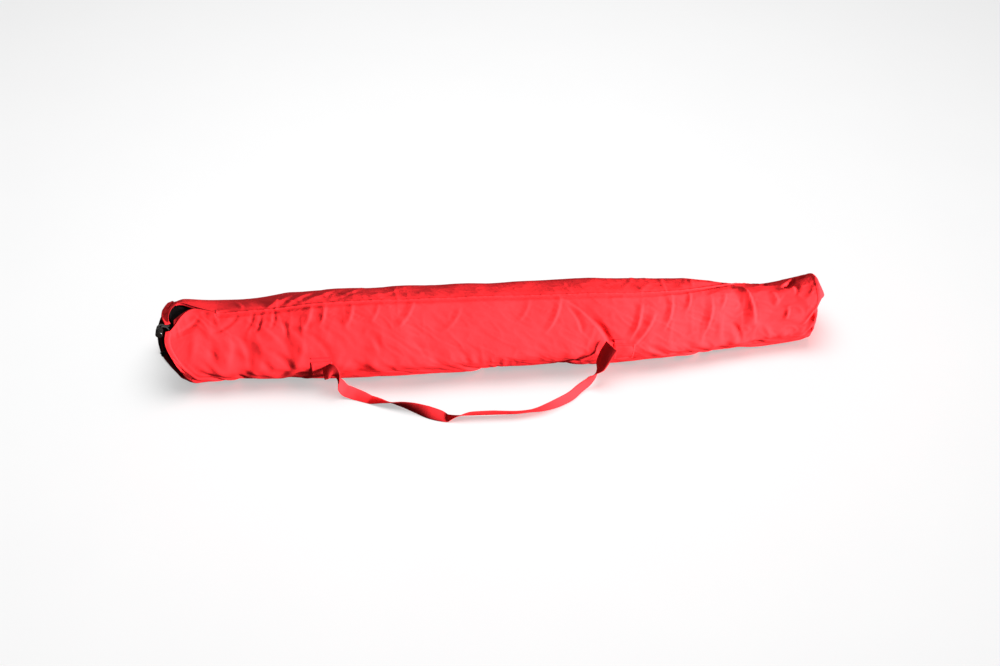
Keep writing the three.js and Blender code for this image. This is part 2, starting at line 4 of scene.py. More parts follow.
import bpy
import numpy as np
from mathutils import Matrix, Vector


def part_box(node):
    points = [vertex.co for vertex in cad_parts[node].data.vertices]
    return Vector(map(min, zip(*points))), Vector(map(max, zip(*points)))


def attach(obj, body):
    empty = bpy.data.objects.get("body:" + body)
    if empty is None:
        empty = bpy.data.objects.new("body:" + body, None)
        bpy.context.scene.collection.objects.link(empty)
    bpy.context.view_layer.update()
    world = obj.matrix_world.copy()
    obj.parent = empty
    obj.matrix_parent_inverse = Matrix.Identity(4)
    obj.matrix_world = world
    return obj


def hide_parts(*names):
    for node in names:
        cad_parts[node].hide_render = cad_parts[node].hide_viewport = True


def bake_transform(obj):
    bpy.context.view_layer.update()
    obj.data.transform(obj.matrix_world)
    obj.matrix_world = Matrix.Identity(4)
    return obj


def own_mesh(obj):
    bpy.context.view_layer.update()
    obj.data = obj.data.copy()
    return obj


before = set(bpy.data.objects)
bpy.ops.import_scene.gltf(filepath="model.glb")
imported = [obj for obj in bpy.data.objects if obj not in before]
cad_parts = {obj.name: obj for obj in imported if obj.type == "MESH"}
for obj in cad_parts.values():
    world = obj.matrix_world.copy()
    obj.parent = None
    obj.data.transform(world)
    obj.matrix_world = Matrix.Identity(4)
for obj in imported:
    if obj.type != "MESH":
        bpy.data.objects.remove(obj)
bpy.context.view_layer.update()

# ---- The bag's driving dimensions, in metres and degrees, as in its CAD ----
MOUTH_X = -0.812
END_X = 0.785
RADIUS = [(MOUTH_X, .100), (-.640, .098), (-.400, .107), (0, .104), (.350, .100), (.640, .077), (END_X, .079)]
BOW = [(MOUTH_X, .012), (-.350, .002), (0, 0), (.350, .007), (END_X, .036)]
LIFT = [(MOUTH_X, 0), (.500, 0), (.650, 0), (END_X, .012)]
SEAM = [(-.684, 76), (0, 79), (.300, 75), (.430, 79), (.490, 87), (.560, 106), (.620, 128), (END_X, 150)]
SINK = 0.006
SHELL_WALL = 0.0012
CLEAR = 0.0003
MOUTH_SLANT = 0.029
BACK_SLANT = 0.62  # the back of the mouth is drawn in by the cord
MOUTH_SADDLE = 0.020
MOUTH_TUCK = 0.014
TUCK_SPREAD = 16
CURL_LENGTH = 0.040
CURL_DEPTH = 0.013
GAP_ANGLE = 55
GAP_HALF = 5
CASING_INSET = 0.0008
CASING_WIDTH = 0.013
CASING_DEPTH = 0.007
CASING_TOP = -SHELL_WALL - 4 * CLEAR
CORD_RADIUS = 0.002
SLIT_END = -0.684
LINER_OFFSET = -0.0038
LINER_THICK = 0.0054
LINER_BACK_SET = 0.005
PATCH_LONG = 0.050
PATCH_TALL = 0.056
PATCH_THICK = 0.0012
STRAP_THICK = 0.0022
TAB_THICK = 0.0014
PATCHES = {"left": (-0.441, -13), "right": (0.288, -9)}
LOCK = np.array([-0.815, -0.052, 0.170])
LOCK_RADIUS = 0.0085
CORD_SPACING = 0.0072
KNOT = np.array([LOCK[0], LOCK[1], 0.101])


def through(stations):
    """A smooth curve through (x, value) stations: a cubic between neighbours, level past the ends."""
    xs, values = (np.array(column, float) for column in zip(*stations))
    last = len(xs) - 1
    before = np.maximum(np.arange(last + 1) - 1, 0)
    after = np.minimum(np.arange(last + 1) + 1, last)
    slopes = (values[after] - values[before]) / (xs[after] - xs[before])

    def at(x):
        x = np.clip(x, xs[0], xs[last])
        i = np.clip(np.searchsorted(xs, x) - 1, 0, last - 1)
        span = xs[i + 1] - xs[i]
        t = (x - xs[i]) / span
        start = (2 * t**3 - 3 * t**2 + 1) * values[i] + (t**3 - 2 * t**2 + t) * span * slopes[i]
        end = (3 * t**2 - 2 * t**3) * values[i + 1] + (t**3 - t**2) * span * slopes[i + 1]
        return start + end

    return at


def ramp(value, start, length):
    """0 up to start, rising evenly to 1 a length further on. A negative length rises the other way."""
    return np.clip((value - start) / length, 0, 1)


def hump(value, middle, width):
    """A smooth bump of height 1 around middle."""
    return np.exp(-(((value - middle) / width) ** 2))


def front_angle(angle):
    """The same angle around the bag, counted from -90 below to 270."""
    return (np.asarray(angle, float) + 90) % 360 - 90


radius_at = through(RADIUS)
bow_at = through(BOW)
lift_at = through(LIFT)
seam_at = through(SEAM)


def middle_z(x):
    return radius_at(x) - SINK + lift_at(x)


def skin(x, angle, offset=0.0):
    """Points at x, at an angle around the bag (0 faces -Y, 90 faces up), so far outside its skin."""
    x, angle = np.broadcast_arrays(np.asarray(x, float), np.asarray(angle, float))
    reach = radius_at(x) + offset
    y = bow_at(x) - reach * np.cos(np.radians(angle))
    z = middle_z(x) + reach * np.sin(np.radians(angle))
    return np.stack([x, y, np.maximum(z, -offset)], -1)


def mouth_x(angle):
    from_gap = (np.asarray(angle, float) - GAP_ANGLE + 180) % 360 - 180
    turn = np.radians(angle)
    tuck = MOUTH_TUCK * hump(from_gap, 0, TUCK_SPREAD)
    slant = MOUTH_SLANT * np.where(np.cos(turn) > 0, 1, BACK_SLANT) * np.cos(turn)
    return MOUTH_X + slant - MOUTH_SADDLE * np.sin(2 * turn) + tuck


def curl_in(x, angle):
    """How far the hood over the mouth curls in towards its edge, as a negative offset."""
    turned = front_angle(angle)
    depth = ramp(x, mouth_x(angle) + CURL_LENGTH, -CURL_LENGTH) ** 1.5
    hood = ramp(turned, 61, 14) * ramp(turned, 215, -50)
    return -CURL_DEPTH * depth * hood


# ---- The camera ----
AZIMUTH, ELEVATION, ROLL = (math.radians(v) for v in (-6, 40, 0.889))
DISTANCE = 3.8
TARGET = np.array([-0.0042, 0.010, 0.059])
to_camera = np.array([
    math.sin(AZIMUTH) * math.cos(ELEVATION),
    -math.cos(AZIMUTH) * math.cos(ELEVATION),
    math.sin(ELEVATION),
])
level = np.array([math.cos(AZIMUTH), math.sin(AZIMUTH), 0])
upright = np.cross(to_camera, level)
camera_right = math.cos(ROLL) * level + math.sin(ROLL) * upright
camera_up = -math.sin(ROLL) * level + math.cos(ROLL) * upright


def look(obj, place, right, up):
    """Puts a camera or light at a place, looking against the cross product of right and up."""
    back = np.cross(right, up)
    obj.matrix_world = Matrix([[right[k], up[k], back[k], place[k]] for k in range(3)] + [[0, 0, 0, 1]])


camera = bpy.data.objects.new("camera", bpy.data.cameras.new("camera"))
camera.data.lens = 55.45
camera.data.sensor_width = 36
bpy.context.collection.objects.link(camera)
look(camera, TARGET + DISTANCE * to_camera, camera_right, camera_up)
bpy.context.scene.camera = camera


# ---- Materials ----
class Shader:
    """A material's node tree, built one node at a time."""

    def __init__(self, name, **sockets):
        self.material = bpy.data.materials.new(name)
        self.material.use_nodes = True
        self.nodes = self.material.node_tree.nodes
        self.surface = self.nodes["Principled BSDF"]
        self.set(self.surface, sockets)

    def set(self, node, sockets):
        for key, value in sockets.items():
            socket = node.inputs[key if isinstance(key, int) else key.replace("_", " ")]
            if isinstance(value, bpy.types.NodeSocket):
                self.material.node_tree.links.new(value, socket)
            else:
                socket.default_value = value

    def add(self, kind, sockets=None, **settings):
        node = self.nodes.new("ShaderNode" + kind)
        for key, value in settings.items():
            setattr(node, key, value)
        self.set(node, sockets or {})
        return node

    def maths(self, operation, a, b=0.0):
        return self.add("Math", {0: a, 1: b}, operation=operation).outputs[0]

    def noise(self, place, scale, detail=3.0, roughness=0.55):
        sockets = {"Vector": place, "Scale": scale, "Detail": detail, "Roughness": roughness}
        return self.add("TexNoise", sockets).outputs["Fac"]

    def mix(self, amount, a, b):
        return self.add("Mix", {0: amount, 6: a, 7: b}, data_type="RGBA").outputs[2]

    def bump(self, height, distance, strength=1.0, below=None):
        sockets = {"Height": height, "Distance": distance, "Strength": strength}
        if below is not None:
            sockets["Normal"] = below
        return self.add("Bump", sockets).outputs["Normal"]


def scaled(colour, factor):
    return (*(min(channel * factor, 1) for channel in colour), 1)


def woven(name, colour, pitch=0.0007, gloss=0.8, crinkle=0.0007, coating=None):
    """Woven cloth: yarns both ways, slow changes of shade, creases that catch the light, a painted highlight
    on ridges and painted shade in folds.
    """
    s = Shader(name, Roughness=gloss, Specular_IOR_Level=0.03)
    place = s.add("Attribute", attribute_name="cloth").outputs["Vector"]
    ridge = s.add("Attribute", attribute_name="ridge").outputs["Fac"]
    warp = s.add("TexWave", {"Vector": place, "Scale": 0.314 / pitch}, bands_direction="X").outputs["Fac"]
    weft = s.add("TexWave", {"Vector": place, "Scale": 0.314 / pitch}, bands_direction="Y").outputs["Fac"]
    yarns = s.maths("MULTIPLY", warp, weft)
    slow = s.noise(place, 9.0, 4.0)
    fine = s.noise(place, 160.0, 3.0, 0.65)
    shade = s.mix(slow, scaled(colour, 0.86), scaled(colour, 1.12))
    shade = s.mix(s.maths("MULTIPLY", fine, 0.25), shade, scaled(colour, 0.72))
    # Painted highlight: the cloth's ridges, from the ridge attribute, are tinted paler.
    lift = s.maths("MAXIMUM", ridge, 0.0)
    shade = s.mix(s.maths("MULTIPLY", lift, 0.06), shade, scaled(colour, 1.5))
    # Painted shade: the cloth's folds, from the ridge attribute, are tinted darker.
    sunk = s.maths("MAXIMUM", s.maths("MULTIPLY", ridge, -1.0), 0.0)
    shade = s.mix(s.maths("MULTIPLY", sunk, 0.60), shade, scaled(colour, 0.55))
    shade = s.mix(s.maths("MULTIPLY", yarns, 0.10), shade, scaled(colour, 0.6))
    if coating:
        # The back attribute mixes in the coating: the coated back of the nylon, and half of it on the strap's
        # underside as painted shade.
        back = s.add("Attribute", attribute_name="back").outputs["Fac"]
        shade = s.mix(back, shade, (*coating, 1))
    rough = s.maths("ADD", s.maths("MULTIPLY", slow, 0.12), gloss - 0.06)
    crease = s.noise(place, 55.0, 5.0, 0.6)
    normal = s.bump(crease, crinkle)
    normal = s.bump(yarns, 0.00012, 0.6, normal)
    s.set(s.surface, {"Base Color": shade, "Roughness": rough, "Normal": normal})
    return s.material


RED = (0.80, 0.0225, 0.0275)
COATING = (0.075, 0.003, 0.004)  # the dark back of the nylon, also mixed half-way onto the strap's underside as painted shade
MATERIALS = {
    "shell_nylon": woven("shell_nylon", RED, coating=COATING),
    "trim_nylon": woven("trim_nylon", (0.66, 0.018, 0.025), coating=COATING),
    "liner_padded": woven("liner_padded", (0.012, 0.010, 0.010), pitch=0.0012, crinkle=0.0005),
    "liner_binding": woven("liner_binding", (0.005, 0.0045, 0.0045), pitch=0.0009),
}


def thread_material():
    """Twisted sewing thread, in the cloth's own colour."""
    s = Shader("thread", Roughness=0.6, Specular_IOR_Level=0.1)
    place = s.add("TexCoord").outputs["Object"]
    twist = s.add("TexWave", {"Vector": place, "Scale": 900.0, "Distortion": 1.0}, bands_direction="DIAGONAL")
    shade = s.mix(twist.outputs["Fac"], (0.30, 0.006, 0.010, 1), (0.62, 0.018, 0.024, 1))
    s.set(s.surface, {"Base Color": shade, "Normal": s.bump(twist.outputs["Fac"], 0.0001)})
    return s.material


def cord_material():
    """Braided black cord."""
    s = Shader("cord_black", Roughness=0.6, Specular_IOR_Level=0.15)
    place = s.add("Attribute", attribute_name="cloth").outputs["Vector"]
    left = s.add("TexWave", {"Vector": place, "Scale": 220.0}, bands_direction="DIAGONAL").outputs["Fac"]
    slow = s.noise(place, 90.0)
    shade = s.mix(left, (0.003, 0.0026, 0.0024, 1), (0.014, 0.011, 0.010, 1))
    shade = s.mix(s.maths("MULTIPLY", slow, 0.5), shade, (0.006, 0.005, 0.0045, 1))
    s.set(s.surface, {"Base Color": shade, "Normal": s.bump(left, 0.0002)})
    return s.material


def plastic_material():
    """Moulded black nylon with a fine satin grain."""
    s = Shader("lock_plastic", Roughness=0.32, Specular_IOR_Level=0.22)
    place = s.add("TexCoord").outputs["Object"]
    grain = s.noise(place, 2600.0, 2.0)
    slow = s.noise(place, 120.0)
    shade = s.mix(slow, (0.004, 0.0035, 0.003, 1), (0.010, 0.008, 0.007, 1))
    rough = s.maths("ADD", s.maths("MULTIPLY", grain, 0.18), 0.24)
    s.set(s.surface, {"Base Color": shade, "Roughness": rough, "Normal": s.bump(grain, 0.00004)})
    return s.material


def steel_material():
    """Bare spring wire, drawn lengthways."""
    s = Shader("spring_steel", Metallic=1.0)
    place = s.add("TexCoord").outputs["Object"]
    drawn = s.noise(place, 1800.0, 2.0)
    shade = s.mix(drawn, (0.45, 0.45, 0.47, 1), (0.68, 0.68, 0.70, 1))
    rough = s.maths("ADD", s.maths("MULTIPLY", drawn, 0.2), 0.22)
    s.set(s.surface, {"Base Color": shade, "Roughness": rough})
    return s.material


MATERIALS["thread"] = thread_material()
MATERIALS["cord_black"] = cord_material()
MATERIALS["lock_plastic"] = plastic_material()
MATERIALS["spring_steel"] = steel_material()


# ---- Mesh tools: points are (n, 3), faces are (m, 4) where a triangle repeats its last corner ----
def vertex_normals(points, faces):
    a, b, c, d = (points[faces[:, k]] for k in range(4))
    facing = np.cross(c - a, d - b)
    total = np.zeros_like(points)
    for k in range(4):
        for axis in range(3):
            total[:, axis] += np.bincount(faces[:, k], facing[:, axis], len(points))
    return total / np.maximum(np.linalg.norm(total, axis=1, keepdims=True), 1e-12)


def grid_faces(ids, ring=False):
    if ring:
        ids = np.concatenate([ids, ids[:, :1]], 1)
    return np.stack([ids[:-1, :-1], ids[1:, :-1], ids[1:, 1:], ids[:-1, 1:]], -1).reshape(-1, 4)


def closed_tube_faces(ids):
    """Faces of a tube whose rings are rows of ids, closed by fans to two more points, one at each end."""
    nxt = np.roll(np.arange(ids.shape[1]), -1)
    tip = np.full(len(nxt), ids.size)
    first = np.stack([ids[0][nxt], ids[0], tip, tip], 1)
    last = np.stack([ids[-1], ids[-1][nxt], tip + 1, tip + 1], 1)
    return np.concatenate([grid_faces(ids, ring=True), first, last])[:, ::-1]


def thicken(points, faces, thickness, normals=None):
    """A closed mesh: the sheet, a copy of it a thickness below, and a rim along each open edge."""
    if normals is None:
        normals = vertex_normals(points, faces)
    count = len(points)
    edges = np.concatenate([faces[:, [k, (k + 1) % 4]] for k in range(4)])
    edges = edges[edges[:, 0] != edges[:, 1]]
    keys = edges.min(1) * count + edges.max(1)
    _, first, uses = np.unique(keys, return_index=True, return_counts=True)
    rim = edges[first[uses == 1]]
    rim = np.stack([rim[:, 1], rim[:, 0], rim[:, 0] + count, rim[:, 1] + count], 1)
    both = np.concatenate([points, points - normals * thickness])
    return both, np.concatenate([faces, faces[:, ::-1] + count, rim])


def add_piece(name, points, faces, slot, body="bag", replaced=(), attributes=None):
    """A smooth-shaded mesh object in the part's frame, riding on a body if one is given."""
    points = np.asarray(points, float).reshape(-1, 3)
    mesh = bpy.data.meshes.new(name)
    corners = [list(dict.fromkeys(face)) for face in np.asarray(faces).tolist()]
    mesh.from_pydata(points.tolist(), [], corners)
    mesh.shade_smooth()
    attributes = attributes or {}
    cloth = attributes.get("cloth", points)
    mesh.attributes.new("cloth", "FLOAT_VECTOR", "POINT").data.foreach_set("vector", np.ravel(cloth))
    for kind in ("ridge", "back"):
        values = attributes.get(kind, np.zeros(len(points)))
        mesh.attributes.new(kind, "FLOAT", "POINT").data.foreach_set("value", np.ravel(values))
    mesh.materials.append(MATERIALS[slot])
    piece = bpy.data.objects.new(name, mesh)
    bpy.context.collection.objects.link(piece)
    if body:
        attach(piece, body)
    if replaced:
        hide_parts(*replaced)
    return piece


def unit(vectors):
    return vectors / np.maximum(np.linalg.norm(vectors, axis=-1, keepdims=True), 1e-12)


def length_along(path):
    """The distance from a path's start to each of its points."""
    return np.concatenate([[0], np.cumsum(np.linalg.norm(np.diff(path, axis=0), axis=1))])


def smooth_path(points, steps):
    """Evenly spaced points on a centripetal Catmull-Rom curve through the given ones."""
    p = np.array(points, float)
    p = np.concatenate([[2 * p[0] - p[1]], p, [2 * p[-1] - p[-2]]])
    knots = np.concatenate([[0], np.cumsum(np.linalg.norm(np.diff(p, axis=0), axis=1) ** 0.5)])
    fine = []
    for i in range(1, len(p) - 2):
        t = np.linspace(knots[i], knots[i + 1], 24, endpoint=False)[:, None]
        level1 = [
            (p[k] * (knots[k + 1] - t) + p[k + 1] * (t - knots[k])) / (knots[k + 1] - knots[k])
            for k in range(i - 1, i + 2)
        ]
        level2 = [
            (level1[k] * (knots[i + 1 + k] - t) + level1[k + 1] * (t - knots[i - 1 + k]))
            / (knots[i + 1 + k] - knots[i - 1 + k])
            for k in range(2)
        ]
        fine.append((level2[0] * (knots[i + 1] - t) + level2[1] * (t - knots[i])) / (knots[i + 1] - knots[i]))
    fine = np.concatenate(fine + [p[-2:-1]])
    along = length_along(fine)
    even = np.linspace(0, along[-1], steps + 1)
    return np.stack([np.interp(even, along, fine[:, k]) for k in range(3)], 1)


def frames_along(path, closed=False):
    """Two unit vectors square to the path at each point, turned as little as possible along it."""
    if closed:
        tangents = unit(np.roll(path, -1, 0) - np.roll(path, 1, 0))
    else:
        tangents = unit(np.gradient(path, axis=0))
    start = np.eye(3)[np.argmin(np.abs(tangents[0]))]
    sides = []
    side = start
    for tangent in tangents:
        side = unit(side - tangent * side.dot(tangent))
        sides.append(side)
    sides = np.array(sides)
    return sides, np.cross(tangents, sides)


def tube(path, radius, sides=16, braid=0.0, strands=4, closed=False):
    """Points and faces of a round cord, with a braid's diamond pattern raised on it."""
    side, other = frames_along(path, closed)
    turn = np.arange(sides) / sides * 2 * math.pi
    along = length_along(path)[:, None]
    lay = along / radius * 0.9
    pattern = np.abs(np.sin(strands / 2 * turn[None] + lay)) * np.abs(np.sin(strands / 2 * turn[None] - lay))
    reach = (radius * (1 - braid + braid * 2 * pattern))[..., None]
    points = path[:, None] + reach * (np.cos(turn)[None, :, None] * side[:, None]
                                      + np.sin(turn)[None, :, None] * other[:, None])
    ids = np.arange(points.shape[0] * sides).reshape(-1, sides)
    cloth = np.stack([along + 0 * turn[None], turn[None] * radius + 0 * along, 0 * pattern], -1)
    cloth = cloth.reshape(-1, 3)
    points = points.reshape(-1, 3)
    if closed:
        return points, grid_faces(np.concatenate([ids, ids[:1]]), ring=True)[:, ::-1], cloth
    points = np.concatenate([points, path[[0, -1]]])
    cloth = np.concatenate([cloth, cloth[[0, -1]]])
    return points, closed_tube_faces(ids), cloth


# ---- The drawcord's free tails and the knot that joins them ----
CHANNEL_X = CASING_INSET + CASING_WIDTH / 2
CHANNEL_OFFSET = CASING_TOP - CASING_DEPTH / 2
CASING_FROM = GAP_ANGLE + GAP_HALF + 0.5
CASING_TO = GAP_ANGLE - GAP_HALF - 0.5 + 360


def channel_point(angle):
    x = mouth_x(angle) + CHANNEL_X
    return skin(x, angle, CHANNEL_OFFSET + curl_in(x, angle))


FRONT_X = LOCK[0] + CORD_SPACING / 2
BACK_X = LOCK[0] - CORD_SPACING / 2
LOCK_TOP = LOCK[2] + LOCK_RADIUS
TAIL_END = KNOT[2] + 0.0085


def down_through_lock(x, above):
    heights = (LOCK_TOP + above, LOCK_TOP - 0.003, LOCK[2], LOCK[2] - LOCK_RADIUS, 0.150, 0.130, TAIL_END)
    return [(x, LOCK[1], z) for z in heights]


FRONT_TAIL = [
    channel_point(CASING_TO - 360 + 0.25),
    channel_point(CASING_TO - 360 + 2),
    (-0.797, -0.045, 0.1745),
    (-0.803, -0.048, 0.181),
    (-0.8085, -0.051, 0.1835),
] + down_through_lock(FRONT_X, 0.001)
BACK_TAIL = [
    channel_point(CASING_FROM - 0.25),
    channel_point(CASING_FROM - 2),
    (-0.803, -0.0405, 0.178),
    (-0.809, -0.044, 0.184),
    (-0.815, -0.0495, 0.186),
] + down_through_lock(BACK_X, 0.0025)

KNOT_LOOP = np.linspace(0, 2 * math.pi, 96, endpoint=False)
knot_path = np.stack([
    np.sin(KNOT_LOOP) + 2 * np.sin(2 * KNOT_LOOP),
    -1.1 * np.sin(3 * KNOT_LOOP),
    np.cos(KNOT_LOOP) - 2 * np.cos(2 * KNOT_LOOP),
], 1) * 0.0019 + KNOT
points, faces, cloth = tube(knot_path, CORD_RADIUS, braid=0.08, closed=True)
knot = add_piece("cord_end_knot", points, faces, "cord_black", replaced=["cord_end_knot"],
                 attributes={"cloth": cloth})
for tail_name, route in (("front", FRONT_TAIL), ("back", BACK_TAIL)):
    path = smooth_path(route, 150)
    points, faces, cloth = tube(path, CORD_RADIUS, braid=0.08)
    name = f"drawcord_tail_{tail_name}"
    tail = add_piece(name, points, faces, "cord_black", replaced=[name], attributes={"cloth": cloth})

cord_angle = np.linspace(CASING_FROM - 0.2, CASING_TO + 0.2, 260)
points, faces, cloth = tube(channel_point(cord_angle), CORD_RADIUS, braid=0.08)
add_piece("drawcord", points, faces, "cord_black", replaced=["drawcord"], attributes={"cloth": cloth})

# ---- The shell: a sheet of cloth, sewn into a tube and let settle on what it holds ----
ROWS_FINE = 26  # rows across the mouth's first stretch
ROWS = 400
COLUMNS = 150
CAP_RINGS = 14
FINE_END = -0.765
row_x = np.concatenate([
    np.linspace(MOUTH_X, FINE_END, ROWS_FINE, endpoint=False),
    np.linspace(FINE_END, END_X, ROWS - ROWS_FINE + 1),
])
upper_lip = through([
    (-.842, 60), (-.802, 60), (-.799, 66), (-.796, 73), (-.792, 81), (-.786, 90),
    (-.779, 97), (-.766, 98), (-.740, 90.5), (-.712, 82.7), (SLIT_END, 76.3),
])
lower_lip = through([
    (-.842, 50), (-.803, 50), (-.792, 56), (-.776, 65), (-.758, 75),
    (-.742, 82), (-.728, 83.5), (SLIT_END, 75.7),
])
open_rows = row_x < SLIT_END
lip_low = np.where(open_rows, lower_lip(row_x), seam_at(row_x))
lip_high = np.where(open_rows, upper_lip(row_x), seam_at(row_x))
across = np.linspace(0, 1, COLUMNS + 1)
cloth_angle = lip_low[:, None] - (360 - (lip_high - lip_low))[:, None] * across[None]
MOUTH_FADE = 0.2


def mouth_share(x):
    """1 at the mouth, falling evenly to 0 a little way in."""
    return 1 - ramp(x, MOUTH_X, MOUTH_FADE)


cloth_x = row_x[:, None] + (mouth_x(cloth_angle) - MOUTH_X) * mouth_share(row_x)[:, None]
turned = front_angle(cloth_angle)
# The cloth is pulled flat between the seam and the front's lower edge, and turns sharply at both.
flatness = np.maximum(ramp(cloth_x, -0.84, 0.2), 0.25) * np.maximum(ramp(cloth_x, END_X, -0.12), 0.2)
corners = 0.0055 * hump(turned, 76, 13) + 0.0065 * hump(turned, -3, 13)
corners -= 0.0035 * hump(turned, 33, 24)
shape_offset = corners * flatness + curl_in(cloth_x, cloth_angle)
base = skin(cloth_x, cloth_angle, shape_offset)

# The end: rings that shrink to the middle of the panel, bulging at the top and tucked in below.
tuck = ramp(np.sin(np.radians(cloth_angle - 40)), 0.10, -0.25)
base[..., 0] -= 0.010 * tuck * ramp(row_x[:, None], END_X - 0.07, 0.07) ** 2
rim = base[-1]
panel_middle = np.array([END_X, bow_at(END_X), middle_z(END_X)])
rings = []
for k in range(1, CAP_RINGS + 1):
    share = 1 - k / (CAP_RINGS + 0.5)
    ring = panel_middle + (rim - panel_middle) * share
    from_middle = ring - panel_middle
    high = (0.77 * from_middle[:, 2] + 0.64 * from_middle[:, 1]) / radius_at(END_X)
    bulge_out = 0.002 + 0.027 * ramp(high, 0.06, 0.14)
    ring[:, 0] = panel_middle[0] + (rim[:, 0] - panel_middle[0]) * share ** 2
    ring[:, 0] += 0.001 + bulge_out * math.cos(share * math.pi / 2)
    rings.append(ring)
base = np.concatenate([base, rings])
total_rows, total_columns = base.shape[:2]
cap_angle = np.concatenate([cloth_angle, np.repeat(cloth_angle[-1:], CAP_RINGS, 0)])

rng = np.random.default_rng(11)


def drift(along, around, waves, lean=0.0):
    """Smooth noise of unit size over the cloth, with features about so long each way."""
    total = np.zeros((total_rows, total_columns))
    for _ in range(waves):
        pull = rng.normal(size=2) * 2 * math.pi / np.array([along, around]) / 2
        total += np.sin(pull[0] * (base[..., 0] + lean * from_seam) + pull[1] * from_seam + rng.uniform(0, 7))
    return total / math.sqrt(waves / 2)


def distance(a, b):
    return np.linalg.norm(b - a, axis=-1)


column_arc = np.concatenate([np.zeros((total_rows, 1)), np.cumsum(distance(base[:, :-1], base[:, 1:]), 1)], 1)
whole = column_arc[:, -1:]
from_seam = np.where(column_arc < whole / 2, column_arc, column_arc - whole)  # positive on the front
near_seam = np.abs(from_seam)
xs = base[..., 0]
outward = unit(np.stack([0 * xs, base[..., 1] - bow_at(xs), base[..., 2] - middle_z(xs)], -1))

PUCKER_LEAN = 0.75
PUCKERS = through([
    (-.80, .15), (-.68, .35), (-.55, .45), (-.38, .4), (-.22, .2), (.0, .1), (.20, .1), (.35, .25),
    (.58, .35), (.70, .25), (END_X, .2),
])
FOLDS = through([
    (-.80, .5), (-.70, 1.0), (-.52, 1.1), (-.36, .8), (-.15, .35), (.05, .25), (.20, .4), (.33, .8),
    (.55, .9), (.66, 1.0), (END_X, .8),
])
fold_strength = FOLDS(xs)


